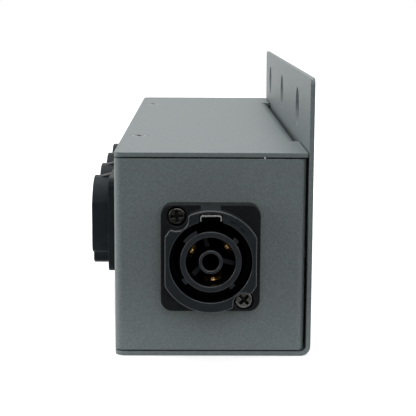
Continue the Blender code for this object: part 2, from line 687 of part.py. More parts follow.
def blade_contact():
    """Male blade with a chamfered tip, running through to its solder tab."""
    tip = CARRIER_FACE - BLADE_RECESS
    shoulder = tip - BLADE_CHAMFER
    half = BLADE_WIDTH / 2
    narrow = half - BLADE_CHAMFER
    outline = [Vector((-half, -TAB_END)), Vector((half, -TAB_END)), Vector((half, shoulder)),
               Vector((narrow, tip)), Vector((-narrow, tip)), Vector((-half, shoulder))]
    low = CONTACT_RADIUS - BLADE_THICKNESS / 2
    return prism(outline, low, low + BLADE_THICKNESS, "XZ")


def fork_contact():
    """Female fork: two leaves round a slit at the front, a thinner tab at the rear."""
    tip = CARRIER_FACE - FORK_RECESS
    middle = CONTACT_RADIUS
    outer = FORK_THICKNESS / 2
    slit = FORK_SLIT / 2
    tab = BLADE_THICKNESS / 2
    shoulder = CAP_BACK - GAP
    outline = [Vector((middle - tab, -TAB_END)), Vector((middle + tab, -TAB_END)),
               Vector((middle + tab, shoulder)), Vector((middle + outer, shoulder)),
               Vector((middle + outer, tip)), Vector((middle + slit, tip)),
               Vector((middle + slit, tip - FORK_SLIT_DEPTH)),
               Vector((middle - slit, tip - FORK_SLIT_DEPTH)), Vector((middle - slit, tip)),
               Vector((middle - outer, tip)), Vector((middle - outer, shoulder)),
               Vector((middle - tab, shoulder))]
    return prism(outline, -BLADE_WIDTH / 2, BLADE_WIDTH / 2, "YZ")


def cross_recess(top):
    """Two crossed slots that taper towards the recess's floor."""
    bars = []
    half = CROSS_LENGTH / 2
    floor = CROSS_FLOOR / 2
    outline = [Vector((-floor, top - CROSS_DEPTH)), Vector((floor, top - CROSS_DEPTH)),
               Vector((half, top)), Vector((half, top + SHEET)),
               Vector((-half, top + SHEET)), Vector((-half, top))]
    bar = prism(outline, -CROSS_WIDTH / 2, CROSS_WIDTH / 2, "XZ")
    for angle in (45, 135):
        bars.append(moved(bar, Matrix.Rotation(math.radians(angle), 4, "Z")))
    return fused(bars[0], bars[1])


def pan_screw():
    """Panel screw: a domed cross-recess head and its shank, from the flange to behind the panel."""
    seat = PAN_SEAT + GAP
    top = seat + PAN_HEAD_HEIGHT
    outline = [Vector((0, seat - PAN_LENGTH)), Vector((THREAD_RADIUS, seat - PAN_LENGTH)),
               Vector((THREAD_RADIUS, seat)), Vector((PAN_HEAD_RADIUS, seat)),
               Vector((PAN_HEAD_RADIUS, seat + PAN_HEAD_SIDE)), Vector((PAN_HEAD_TOP, top)),
               Vector((0, top))]
    return cut(turned(outline, SMALL_SEGMENTS), cross_recess(top))


def flush_screw():
    """Countersunk cross-recess screw, its head level with the sheet."""
    top = -FLUSH_SINK
    neck = top - (FLUSH_HEAD_RADIUS - THREAD_RADIUS)
    outline = [Vector((0, -FLUSH_LENGTH)), Vector((THREAD_RADIUS, -FLUSH_LENGTH)),
               Vector((THREAD_RADIUS, neck)), Vector((FLUSH_HEAD_RADIUS, top)), Vector((0, top))]
    return cut(turned(outline, SMALL_SEGMENTS), cross_recess(top))


# Wiring

def tab_end(matrix, pole):
    """Where a contact's tab ends."""
    local = contact_turn(CONTACT_ANGLES[pole]) @ Vector((0, CONTACT_RADIUS, -TAB_END))
    return matrix @ local


def wire_route(pole, sag):
    """Route points: from the inlet's tab past each outlet's tab, with slack between the tabs."""
    start = tab_end(inlet_matrix(), pole) + Vector((0, GAP, 0))
    first = tab_end(outlet_matrix(0), pole) + Vector((GAP + WIRE_RADIUS, 0, 0))
    points = [start, start + Vector((0, WIRE_STRAIGHT, 0))]
    room = points[1].y + WIRE_SLACK
    for step in range(-WIRE_ROUTE_STEPS // 2, (OUTLET_COUNT - 1) * WIRE_ROUTE_STEPS + 1):
        share = step / WIRE_ROUTE_STEPS
        swing = (1 - math.cos(2 * math.pi * share)) / 2
        point = first + Vector((0, OUTLET_PITCH * share, 0)) + sag * swing
        if point.y > room:
            points.append(point)
    return points


def smooth_points(points):
    """A route's straight ends, and between them points read from the curve through its points."""
    smooth = points[:1]
    for index in range(1, len(points) - 2):
        before, here, after, later = points[index - 1:index + 3]
        for step in range(WIRE_CURVE_STEPS):
            t = step / WIRE_CURVE_STEPS
            smooth.append(0.5 * (2 * here + (after - before) * t
                                 + (2 * before - 5 * here + 4 * after - later) * t ** 2
                                 + (3 * here - 3 * after + later - before) * t ** 3))
    return smooth + points[-2:]


def add_wire(name, points, material):
    curve = bpy.data.curves.new(name, "CURVE")
    curve.dimensions = "3D"
    curve.bevel_depth = WIRE_RADIUS
    curve.bevel_resolution = 2
    curve.use_fill_caps = True
    spline = curve.splines.new("POLY")
    spline.points.add(len(points) - 1)
    for target, point in zip(spline.points, points):
        target.co = (*point, 1.0)
    curve.materials.append(material)
    item = bpy.data.objects.new(name, curve)
    bpy.context.scene.collection.objects.link(item)


def stud_place():
    return Vector((X_INSIDE, Y_FAR - STUD_SETBACK, STUD_HEIGHT))


def earth_stud():
    """Threaded stud with its nut, standing on the back plate inside the case."""
    stud = cylinder(STUD_RADIUS, 0, STUD_LENGTH, SMALL_SEGMENTS)
    nut = cylinder(NUT_RADIUS, GAP, NUT_THICKNESS, NUT_SIDES)
    inward = Matrix.Rotation(math.radians(-90), 4, "Y")
    return moved(fused(stud, nut), Matrix.Translation(stud_place()) @ inward)


def add_wiring(materials):
    sags = {"live": Vector((0, 0, WIRE_SLACK)), "neutral": Vector((0, 0, -WIRE_SLACK)),
            "earth": Vector((WIRE_SLACK, 0, 0))}
    colours = {"live": "brown_wire", "neutral": "blue_wire", "earth": "earth_wire"}
    for pole, sag in sags.items():
        points = wire_route(pole, sag)
        if pole == "earth":
            stud_tip = stud_place() - Vector((STUD_LENGTH + GAP, 0, 0))
            turn = Vector((stud_tip.x - 2 * WIRE_STRAIGHT, stud_tip.y - WIRE_SLACK, stud_tip.z))
            points += [(points[-1] + turn) / 2, turn,
                       stud_tip - Vector((WIRE_STRAIGHT, 0, 0)), stud_tip]
        else:
            points.append(points[-1] + Vector((0, WIRE_STRAIGHT, 0)))
        add_wire(f"{pole}_conductor", smooth_points(points), materials[colours[pole]])


# The whole box

def add_connector(name, matrix, meshes, materials):
    frame = add_frame(name, matrix)
    add_object(f"{name}_housing", meshes["housing"], materials["black_plastic"], frame)
    add_object(f"{name}_carrier", meshes["carrier"], materials["black_plastic"], frame)
    add_object(f"{name}_gasket", meshes["gasket"], materials["gasket_rubber"], frame)
    add_object(f"{name}_latch_strike", meshes["strike"], materials["strike_steel"], frame)
    for index, place in enumerate(screw_places()):
        screw = add_object(f"{name}_screw_{index + 1}", meshes["screw"], materials["dark_nickel"], frame)
        screw.location = place
    for pole, angle in CONTACT_ANGLES.items():
        contact = add_object(f"{name}_{pole}_contact", meshes["contact"],
                             materials["contact_brass"], frame)
        contact.rotation_euler = (0, 0, math.radians(angle - 90))


def main():
    for item in list(bpy.data.objects):
        bpy.data.objects.remove(item)
    materials = make_materials()

    add_object("chassis", chassis(), materials["powder_coat"])
    add_object("base", base(), materials["powder_coat"])
    add_object("top_cover", cover(), materials["powder_coat"])
    screw = flush_screw()
    for name, matrix in flush_screw_places().items():
        add_object(name, screw, materials["dark_nickel"]).matrix_world = matrix

    shared = {"housing": housing(), "gasket": gasket(), "strike": strike(), "screw": pan_screw()}
    male = {**shared, "carrier": inlet_carrier(), "contact": blade_contact()}
    female = {**shared, "carrier": outlet_carrier(), "contact": fork_contact()}
    add_connector("inlet", inlet_matrix(), male, materials)
    for index, name in enumerate(outlet_names()):
        add_connector(name, outlet_matrix(index), female, materials)

    add_wiring(materials)
    add_object("earth_stud", earth_stud(), materials["strike_steel"])


main()
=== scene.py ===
"""Looks of the power distribution box: fine meshes, finishes, light, floor and camera.

X points from the outlets to the back plate, Y along the case away from the inlet, Z up, in metres.
Each visible piece is modelled again with its real edges and roundings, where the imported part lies.
"""

import json
import math

import bmesh
import bpy
from mathutils import Matrix, Vector


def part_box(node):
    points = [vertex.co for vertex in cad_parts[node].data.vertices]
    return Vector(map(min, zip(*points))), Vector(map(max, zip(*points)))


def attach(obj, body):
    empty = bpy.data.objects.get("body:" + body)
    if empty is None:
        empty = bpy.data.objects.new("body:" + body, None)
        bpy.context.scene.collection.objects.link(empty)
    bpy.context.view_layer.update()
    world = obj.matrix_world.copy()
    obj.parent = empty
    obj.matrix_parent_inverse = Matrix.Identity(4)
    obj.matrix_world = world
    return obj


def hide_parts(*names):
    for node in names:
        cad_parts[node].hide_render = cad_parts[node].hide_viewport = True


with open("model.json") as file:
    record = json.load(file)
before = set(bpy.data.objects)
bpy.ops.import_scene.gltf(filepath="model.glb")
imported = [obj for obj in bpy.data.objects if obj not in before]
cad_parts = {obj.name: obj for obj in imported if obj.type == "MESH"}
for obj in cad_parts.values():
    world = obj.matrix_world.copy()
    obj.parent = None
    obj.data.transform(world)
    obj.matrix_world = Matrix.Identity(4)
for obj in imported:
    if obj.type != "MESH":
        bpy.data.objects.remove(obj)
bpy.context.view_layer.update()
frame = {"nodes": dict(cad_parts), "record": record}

MM = 0.001

# Facets
ROUND_SEGMENTS = 96              # round a socket or a panel hole
SCREW_SEGMENTS = 36
BEND_STEPS = 8
CORNER_STEPS = 8
EDGE_STEPS = 3                   # across a rounded edge
ARC_STEP = 5                     # degrees between points along a free arc
SHARP_ANGLE = 35                 # degrees, edges sharper than this stay sharp
OVERLAP = 0.5 * MM               # how far solids reach into each other before they are fused
SAME_POINT = 0.0005 * MM         # points of a turned solid closer than this are one
BEYOND = 2.0 * MM                # how far a cutter runs past a face
PLANES = {"XY": (0, 1, 2), "XZ": (0, 2, 1), "YZ": (2, 0, 1)}   # X, Y, Z out of (u, v, height)

# Sheet metal
GAP = 0.3 * MM                   # between neighbours
END_WALL_GAP = 0.4 * MM
SHEET = 1.35 * MM
SHEET_EDGE = 0.16 * MM           # rounding of the painted sheets' edges
HOLE_EDGE = 0.06 * MM            # and of the mounting holes' rims
CHASSIS_BEND = 1.05 * MM
COVER_BEND = 2.4 * MM
BASE_BEND = 1.5 * MM
BASE_CORNER = 3.0 * MM
COVER_CORNER = 2.4 * MM
FLANGE_CORNER = 2.0 * MM
RETURN_WIDTH = 7.2 * MM
LIP_WIDTH = 11.0 * MM
LIP_INSET = 6.0 * MM
RELIEF = 1.0 * MM
LIP_SHIFT = 0.01 * MM            # keeps the lips' faces off the front panel's where they overlap
COVER_FLANGE_DEPTH = 11.0 * MM
COVER_EAR = 31.0 * MM
MOUNT_HOLE_RADIUS = 6.15 * MM

# Connector housing, in front of the panel unless it says otherwise
CONNECTOR_WIDTH = 28.2 * MM
CONNECTOR_HEIGHT = 30.7 * MM
CONNECTOR_CORNER = 3.3 * MM
GASKET_THICKNESS = 0.9 * MM
FLANGE_FACE = 4.9 * MM
FLANGE_EDGE = 0.18 * MM
BEZEL_FACE = 10.3 * MM
BEZEL_EDGE = 0.38 * MM
BEZEL_RADIUS = 14.6 * MM
BEZEL_FLAT = 12.86 * MM
BEZEL_FILLET = 1.0 * MM
SCREW_RECESS_RADIUS = 3.15 * MM
SCREW_OFFSET_U = 9.5 * MM
SCREW_OFFSET_V = 12.0 * MM
SCREW_RIM = 0.3 * MM             # rounding of the screw recess in the flange
BARREL_RADIUS = 11.7 * MM
BARREL_DEPTH = 16.0 * MM
WELL_RADIUS = 11.6 * MM
WELL_DEPTH = 7.4 * MM
WELL_EDGE = 0.25 * MM
THROAT_RADIUS = 10.4 * MM
PANEL_HOLE_RADIUS = BARREL_RADIUS + GAP
PAD_WIDTH = 5.8 * MM
PAD_START = 0.6 * MM             # behind the bezel's front
PAD_SETBACK = 0.1 * MM
PAD_EDGE = 0.35 * MM
GROOVE_RADIUS = 12.2 * MM        # inner edge of the crescent groove in the bezel's face
GROOVE_WIDTH = 1.0 * MM
GROOVE_FLOOR = 0.2               # width of its floor, as a share of its width at the face
GROOVE_END = 0.2                 # width at both its ends, as a share of its full width
GROOVE_DEPTH = 0.45 * MM
GROOVE_ANGLES = (42, 66)
GROOVE_STEPS = 16

# Latch strike
STRIKE_WIDTH = 6.1 * MM
STRIKE_TOP = 13.2 * MM
STRIKE_LEG = 1.7 * MM
STRIKE_THICKNESS = 0.4 * MM
STRIKE_BEND = 0.4 * MM
STRIKE_FACE = BEZEL_FACE - 0.3 * MM
STRIKE_DEPTH = 6.8 * MM
STRIKE_EDGE = 0.07 * MM
KEYWAY_HALF = STRIKE_WIDTH / 2 + GAP

# Contact carriers
RING_OUTER = 8.65 * MM
RING_INNER = 7.0 * MM
RING_EDGE = 0.25 * MM
TUBE_OUTER = 3.35 * MM
TUBE_INNER = 2.45 * MM
TUBE_DEPTH = 21.0 * MM
CARRIER_FACE = BEZEL_FACE - 0.1 * MM
SEAT_THICKNESS = 3.2 * MM
CAP_THICKNESS = 2.2 * MM
CAP_EDGE = 0.3 * MM
WEB_THICKNESS = 1.4 * MM
WEB_RECESS = 7.0 * MM
WEB_EDGE = 0.1 * MM
KEY_REACH = 1.0 * MM
KEY_RECESS = 0.5 * MM
KEY_LENGTH = 14.0 * MM
KEY_EDGE = 0.12 * MM
CARRIER_DEEP = 2.0 * MM          # behind the carrier's front, from where no light reaches it
SIDE_SLOPE = 0.1                 # less of a face's normal points out of the panel on a side wall
EDGE_SLOPE = 0.98                # and more of it on a front
INLET_WEBS = (105, 225, 345)
INLET_KEYS = ((115, 143.5), (35, 46), (212, 224), (305, 316))
OUTLET_KEYS = ((115, 143.5), (19, 31), (228, 240), (331, 343))
CAP_FRONT = -BARREL_DEPTH - GAP
CAP_BACK = CAP_FRONT - CAP_THICKNESS
SEAT_FRONT = CAP_FRONT + SEAT_THICKNESS

# Contacts
CONTACT_ANGLES = {"earth": 277, "live": 37, "neutral": 157}
CONTACT_RADIUS = 5.75 * MM
BLADE_WIDTH = 4.6 * MM
BLADE_THICKNESS = 1.0 * MM
BLADE_RECESS = 4.6 * MM
BLADE_TIP = 1.0 * MM             # width left at the tip
BLADE_TIP_CORNER = 0.3 * MM
BLADE_TAPER = 1.5 * MM
BLADE_SHOULDER = 0.5 * MM        # rounding where the taper starts
BLADE_EDGE = 0.3 * MM
FORK_THICKNESS = 1.9 * MM
FORK_SLIT = 0.8 * MM
FORK_SLIT_DEPTH = 9.0 * MM
FORK_RECESS = 2.2 * MM
FORK_LEAF_CORNER = 0.2 * MM
FORK_EDGE = 0.15 * MM
TAB_END = 29.0 * MM

# Fasteners
THREAD_RADIUS = 1.5 * MM
SHANK_EDGE = 0.3 * MM
HEAD_EDGE = 0.1 * MM
PAN_SEAT = FLANGE_FACE - 2.0 * MM
PAN_SEAT_RADIUS = 2.8 * MM
PAN_HEAD_RADIUS = 2.45 * MM
PAN_HEAD_HEIGHT = 1.7 * MM
PAN_HEAD_CROWN = 0.4 * MM        # rounding of the head's upper edge
PAN_HEAD_RISE = 0.05 * MM        # from that rounding to the head's middle
PAN_STEPS = 6
PAN_LENGTH = 9.0 * MM
FLUSH_HEAD_RADIUS = 2.85 * MM
FLUSH_LENGTH = 5.0 * MM
FLUSH_SINK = 0.05 * MM
CROSS_LENGTH = 3.5 * MM
CROSS_WIDTH = 0.9 * MM
CROSS_DEPTH = 1.3 * MM
CROSS_TAPER = 0.18 * MM
CROSS_CORNER = 0.15 * MM         # rounding between two arms
CROSS_RIM = 0.07 * MM            # bevel round the drive recess
FLUSH_TURN = 20                  # degrees, how the flush screws came to rest
# screw_1 takes the darker and screw_2 the lighter copy of one plating; the difference is painted
# reflection.
PAN_SCREWS = {"screw_1": (4, "dark_nickel"), "screw_2": (45, "lit_nickel_copy")}

# Finishes. Nearly all of a noise's values lie in NOISE_RANGE, and most in NOISE_CORE.
NOISE_RANGE = (0.3, 0.7)
NOISE_CORE = (0.35, 0.65)
MIX_FACTOR, MIX_FIRST, MIX_SECOND, MIX_COLOUR = 0, 6, 7, 2   # a colour Mix node's sockets
PLASTICS = {                     # colour, specular level, roughness
    # The first two entries are one moulding in two copies: the darker is painted shade on the inlet
    # housing's sides and flange, the lighter its bezel's front.
    "black_plastic": ((0.0035, 0.0052, 0.0062), 0.2, 0.38),
    "bezel_plastic": ((0.0100, 0.0132, 0.0158), 0.2, 0.38),
    # The next entry is the same moulding for the outlets, with less sheen so that their lit tops and
    # sides render darker, as painted shade.
    "outlet_plastic": ((0.0120, 0.0155, 0.0190), 0.065, 0.44),
    "carrier_plastic": ((0.0150, 0.0180, 0.0215), 0.2, 0.38),
    # The next entry is near-black painted shade for faces deep in the socket, the keyway and the
    # carrier.
    "inner_plastic": ((0.0012, 0.0013, 0.0014), 0.05, 0.38),
}
METALS = {                       # colour, roughness and its spread, grain per metre and its depth
    "strike_steel": ((0.62, 0.62, 0.61), 0.3, 0.06, (900, 900, 2500), 0.01 * MM),
    "dark_nickel": ((0.07, 0.068, 0.065), 0.18, 0.05, (1300, 1300, 1300), 0.04 * MM),
    # The next entry is a lighter copy of the plating above, a painted reflection for the heads that
    # catch the light.
    "lit_nickel_copy": ((0.17, 0.168, 0.162), 0.26, 0.05, (2200, 2200, 2200), 0.012 * MM),
    # The next entry is near-black painted shade for the screws' drive recesses and shanks.
    "screw_painted_shade": ((0.02, 0.02, 0.02), 0.45, 0.06, (2200, 2200, 2200), 0.012 * MM),
    "contact_brass": ((0.80, 0.55, 0.26), 0.28, 0.06, (1500, 1500, 1500), 0.008 * MM),
}
WIRES = {"brown_wire": (0.12, 0.045, 0.02), "blue_wire": (0.03, 0.10, 0.42)}
EARTH_GREEN = (0.10, 0.30, 0.03)
EARTH_YELLOW = (0.75, 0.60, 0.03)

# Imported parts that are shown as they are, each with its finish
CARRIED = {"live_conductor": "brown_wire", "neutral_conductor": "blue_wire",
           "earth_conductor": "earth_wire", "earth_stud": "strike_steel"}

# Camera, fitted to the photograph's edges with the principal point in the middle
CAMERA_PLACE = Vector((-0.295, -442.44, 99.85)) * MM
CAMERA_YAW = -0.0113             # radians
CAMERA_PITCH = 0.1637            # downwards
CAMERA_ROLL = -0.0054
CAMERA_LENS = 104.97             # millimetres
CAMERA_SENSOR = 36.0             # millimetres

# Floor
FLOOR_REACH = 4.0                # metres to each side
FLOOR_DROP = 0.05 * MM           # below the case, so that no two faces lie in one plane
FLOOR_ROUGHNESS = 0.9
FLOOR_PALE = 0.8                 # its grey round the object and behind it
FLOOR_DARK = 0.12                # its grey towards the camera
FLOOR_FADE = (-0.165, -0.09)     # metres along Y, from dark to pale
FLOOR_GLOW = 0.45                # what it adds where it is seen, so that it shows white
FLOOR_FRONT_GLOW = 0.94          # the same where it is dark

# World
WORLD_COLOUR = (1.0, 1.0, 0.99, 1.0)
WORLD_DIM = 0.06                 # its strength in front of the object, as a share
WORLD_FADE = (-0.8, 0.1)         # its direction's Y, from dim to full strength

# Lamps: place and target in metres, size, power in watts
LAMPS = {
    "overhead": ((-0.1, 0.25, 1.2), (0.0, 0.0, 0.0), 1.2, 10.0),
    "front": ((0.1, -1.2, 0.7), (0.0, 0.0, 0.03), 0.9, 6.9),
    "left": ((-1.2, -0.4, 0.5), (0.0, 0.0, 0.03), 0.9, 8.5),
    "right": ((1.2, -0.6, 0.5), (0.0, 0.0, 0.03), 0.9, 4.0),
}

# Places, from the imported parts
X_FRONT, Y_NEAR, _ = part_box("chassis")[0]
X_RETURN, Y_FAR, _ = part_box("chassis")[1]
X_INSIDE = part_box("top_cover")[1].x
X_BACK, _, Z_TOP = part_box("base")[1]
CASE_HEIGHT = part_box("top_cover")[1].z
OUTLETS = [f"outlet_{index}" for index in range(1, 5)]
FLUSH_SCREWS = [f"{kind}_{index}" for index in (1, 2)
                for kind in ("cover_screw", "bottom_screw", "cover_flange_screw", "end_wall_screw")]


# Flat outlines

def arc(centre, radius, start, end, steps=None):
    """Points on a circle from one angle to another, in degrees."""
    steps = steps or max(1, round(abs(end - start) / ARC_STEP))
    points = []
    for step in range(steps + 1):
        angle = math.radians(start + (end - start) * step / steps)
        points.append(Vector(centre) + Vector((math.cos(angle), math.sin(angle))) * radius)
    return points


def circle(radius, segments=ROUND_SEGMENTS):
    return arc((0, 0), radius, 0, 360, segments)[:-1]


def corner_points(before, corner, after, radius, steps):
    """An arc that rounds one corner of an outline."""
    first = (corner - before).normalized()
    second = (after - corner).normalized()
    turn = math.atan2(first.cross(second), first.dot(second))
    start = corner - first * radius * math.tan(abs(turn) / 2)
    centre = start + Vector((-first.y, first.x)) * math.copysign(radius, turn)
    return [centre + Matrix.Rotation(turn * step / steps, 2) @ (start - centre)
            for step in range(steps + 1)]


def rounded_outline(corners, steps=EDGE_STEPS, closed=True):
    """Outline through corners given as (x, y) or (x, y, radius)."""
    places = [Vector(corner[:2]) for corner in corners]
    points = []
    for index, corner in enumerate(corners):
        inner = closed or 0 < index < len(corners) - 1
        if inner and len(corner) == 3:
            after = places[(index + 1) % len(places)]
            points += corner_points(places[index - 1], places[index], after, corner[2], steps)
        else:
            points.append(places[index])
    return points


def rectangle(low, high, radius=0.0):
    corners = [low, (high[0], low[1]), high, (low[0], high[1])]
    if not radius:
        return [Vector(corner) for corner in corners]
    return rounded_outline([(*corner, radius) for corner in corners], CORNER_STEPS)


def offset(outline, distance):
    """The outline moved outwards by a distance. Its points run counter-clockwise."""
    points = []
    for index, point in enumerate(outline):
        first = (point - outline[index - 1]).normalized()
        second = (outline[(index + 1) % len(outline)] - point).normalized()
        out_first = Vector((first.y, -first.x))
        out_second = Vector((second.y, -second.x))
        step = (out_first + out_second) * distance / (1 + out_first.dot(out_second))
        points.append(point + step)
    return points


def bent_sheet(path, inner_radius):
    """Outline of a sheet whose outer face follows path. The sheet and its bends lie on the left."""
    outer_corners = [(*corner, inner_radius + SHEET) for corner in path[1:-1]]
    outer = rounded_outline([path[0], *outer_corners, path[-1]], BEND_STEPS, closed=False)
    places = [Vector(point) for point in path]
    lefts = []
    for start, end in zip(places, places[1:]):
        along = (end - start).normalized()
        lefts.append(Vector((-along.y, along.x)) * SHEET)
    inner_corners = [places[0] + lefts[0]]
    for place, before, after in zip(places[1:-1], lefts, lefts[1:]):
        inner_corners.append((*(place + before + after), inner_radius))
    inner_corners.append(places[-1] + lefts[-1])
    inner = rounded_outline(inner_corners, BEND_STEPS, closed=False)
    return outer + inner[::-1]


def circle_crossings(radius, centre, reach):
    """The two points at radius from the origin and reach from centre, the clockwise one first."""
    distance = centre.length
    along = (distance ** 2 + radius ** 2 - reach ** 2) / (2 * distance)
    across = math.sqrt(radius ** 2 - along ** 2)
    unit = centre / distance
    sideways = Vector((-unit.y, unit.x)) * across
    return unit * along - sideways, unit * along + sideways


def angle_of(vector):
    return math.degrees(math.atan2(vector.y, vector.x))


def swing(centre, radius, start, end, side, steps=None):
    """An arc from one direction to another, counter-clockwise where side is 1, clockwise at -1."""
    first = angle_of(start)
    last = angle_of(end)
    while (last - first) * side < 0:
        last += 360 * side
    return arc(centre, radius, first, last, steps)


def recess_run(screw):
    """The bezel's outline past one screw: fillet, arc round the screw, fillet."""
    entry, leave = circle_crossings(BEZEL_RADIUS - BEZEL_FILLET, screw,
                                    SCREW_RECESS_RADIUS + BEZEL_FILLET)
    return (swing(entry, BEZEL_FILLET, entry, screw - entry, 1, CORNER_STEPS)
            + swing(screw, SCREW_RECESS_RADIUS, entry - screw, leave - screw, -1)[1:-1]
            + swing(leave, BEZEL_FILLET, screw - leave, leave, 1, CORNER_STEPS))


def bezel_outline():
    """A circle with two flats and a recess round each of the two screws, counter-clockwise."""
    origin = (0, 0)
    flat = math.degrees(math.acos(BEZEL_FLAT / BEZEL_RADIUS))
    upper = recess_run(Vector((-SCREW_OFFSET_U, SCREW_OFFSET_V)))
    lower = recess_run(Vector((SCREW_OFFSET_U, -SCREW_OFFSET_V)))
    points = arc(origin, BEZEL_RADIUS, flat, angle_of(upper[0]))[:-1]
    points += upper
    points += arc(origin, BEZEL_RADIUS, 180 - flat, 180 + flat, 1)[:1]
    points += arc(origin, BEZEL_RADIUS, 180 + flat, angle_of(lower[0]) + 360)[:-1]
    points += lower
    points += arc(origin, BEZEL_RADIUS, -flat, flat, 1)[:1]
    return points


# Solids

def finished(bm):
    """Turns a bmesh into a mesh with its faces pointing out."""
    bmesh.ops.recalc_face_normals(bm, faces=bm.faces)
    mesh = bpy.data.meshes.new("solid")
    bm.to_mesh(mesh)
    bm.free()
    return mesh


def stacked(outlines, plane="XY"):
    """A closed solid through outlines of equally many points, each given with its height."""
    bm = bmesh.new()
    loops = [[bm.verts.new([(*point, height)[index] for index in PLANES[plane]])
              for point in outline] for outline, height in outlines]
    for below, above in zip(loops, loops[1:]):
        for index in range(len(below)):
            bm.faces.new((below[index - 1], below[index], above[index], above[index - 1]))
    bm.faces.new(loops[0])
    bm.faces.new(loops[-1])
    return finished(bm)


def lofted(outline, rings, plane="XY"):
    """A closed solid through an outline's copies, one for each ring of (offset, height)."""
    return stacked([(offset(outline, distance) if distance else outline, height)
                    for distance, height in rings], plane)


def quarter_rings(height, rounding, side):
    """Rings that round an edge at a height. side is 1 for a top edge, -1 for a bottom edge."""
    rings = []
    for step in range(EDGE_STEPS + 1):
        angle = math.radians(90) * step / EDGE_STEPS
        inwards = rounding * (math.cos(angle) - 1)
        rings.append((inwards, height - side * rounding * (1 - math.sin(angle))))
    return rings if side == 1 else rings[::-1]


def block(outline, low, high, top=0.0, bottom=0.0, plane="XY"):
    """Extrudes an outline and rounds its top and bottom edges."""
    rings = quarter_rings(low, bottom, -1) if bottom else [(0, low)]
    rings += quarter_rings(high, top, 1) if top else [(0, high)]
    return lofted(outline, rings, plane)


def flared_cutter(outline, low, face, flare):
    """Cuts an outline's hole down from a face and rounds the hole's rim outwards."""
    rim = [(-inwards, height) for inwards, height in quarter_rings(face, flare, 1)]
    return lofted(outline, [(0, low)] + rim + [(flare, face + BEYOND)])


def turned(corners, segments=ROUND_SEGMENTS, steps=EDGE_STEPS):
    """Spins an open outline of (radius, height) or (radius, height, rounding) about the Z axis."""
    bm = bmesh.new()
    outline = rounded_outline(corners, steps, closed=False)
    verts = [bm.verts.new((point[0], 0, point[1])) for point in outline]
    edges = [bm.edges.new(pair) for pair in zip(verts, verts[1:])]
    bmesh.ops.spin(bm, geom=verts + edges, cent=(0, 0, 0), axis=(0, 0, 1),
                   angle=math.tau, steps=segments, use_merge=True)
    bmesh.ops.remove_doubles(bm, verts=bm.verts, dist=SAME_POINT)
    return finished(bm)


def bore(radius, low, face, flare=0.0, segments=ROUND_SEGMENTS):
    """A round cutter from low up through a face. A flare rounds the rim."""
    if flare:
        return flared_cutter(circle(radius, segments), low, face, flare)
    return block(circle(radius, segments), low, face + BEYOND)


def spun(degrees, axis):
    """A turn about one of the three axes."""
    return Matrix.Rotation(math.radians(degrees), 4, axis)


def moved(mesh, matrix):
    copy = mesh.copy()
    copy.transform(matrix)
    return copy


def joined(meshes):
    """Several solids that stay apart, as one mesh."""
    bm = bmesh.new()
    for mesh in meshes:
        bm.from_mesh(mesh)
    return finished(bm)


def added(name, data):
    """A new object in the scene."""
    item = bpy.data.objects.new(name, data)
    bpy.context.scene.collection.objects.link(item)
    return item


def combined(base, tool, operation):
    """The exact Boolean of two meshes."""
    base_object = added("boolean_base", base)
    tool_object = added("boolean_tool", tool)
    modifier = base_object.modifiers.new("boolean", "BOOLEAN")
    modifier.object = tool_object
    modifier.operation = operation
    modifier.solver = "EXACT"
    depsgraph = bpy.context.evaluated_depsgraph_get()
    result = bpy.data.meshes.new_from_object(base_object.evaluated_get(depsgraph))
    bpy.data.objects.remove(base_object)
    bpy.data.objects.remove(tool_object)
    return result


def fused(base, *tools):
    for tool in tools:
        base = combined(base, tool, "UNION")
    return base


def cut(base, *tools):
    for tool in tools:
        base = combined(base, tool, "DIFFERENCE")
    return base


def softened(mesh, corners=()):
    """Rounds the picked corner edges, each (radius, test), and then every sharp edge of a sheet."""
    def bevel(edges, radius, steps):
        bmesh.ops.bevel(bm, geom=edges, offset=radius, segments=steps, profile=0.5, affect="EDGES")

    bm = bmesh.new()
    bm.from_mesh(mesh)
    for radius, picks in corners:
        edges = [edge for edge in bm.edges if picks(*[vert.co for vert in edge.verts])]
        bevel(edges, radius, CORNER_STEPS)
    limit = math.radians(SHARP_ANGLE)
    edges = [edge for edge in bm.edges if edge.is_manifold and edge.calc_face_angle() > limit]
    bevel(edges, SHEET_EDGE, EDGE_STEPS)
    return finished(bm)


# Finishes

def plug(tree, socket, value):
    """Gives an input its value, or links it where the value is an output."""
    if isinstance(value, bpy.types.NodeSocket):
        tree.links.new(value, socket)
    else:
        socket.default_value = value


def feed(tree, item, **inputs):
    """Sets a node's inputs by name, with _ for a space."""
    for name, value in inputs.items():
        plug(tree, item.inputs[name.replace("_", " ")], value)
    return item


def new_node(tree, kind, **inputs):
    return feed(tree, tree.nodes.new(kind), **inputs)


def ranged(tree, source, span, low, high, interpolation="LINEAR"):
    """Goes from the low to the high level over a span of the source's values."""
    item = new_node(tree, "ShaderNodeMapRange", Value=source, From_Min=span[0], From_Max=span[1],
                    To_Min=low, To_Max=high)
    item.interpolation_type = interpolation
    return item.outputs["Result"]


def mixed(tree, factor, first, second):
    """The colour that goes from the first to the second as the factor goes from 0 to 1."""
    item = tree.nodes.new("ShaderNodeMix")
    item.data_type = "RGBA"
    item.inputs[MIX_FIRST].default_value = (*first, 1.0)
    item.inputs[MIX_SECOND].default_value = (*second, 1.0)
    tree.links.new(factor, item.inputs[MIX_FACTOR])
    return item.outputs[MIX_COLOUR]


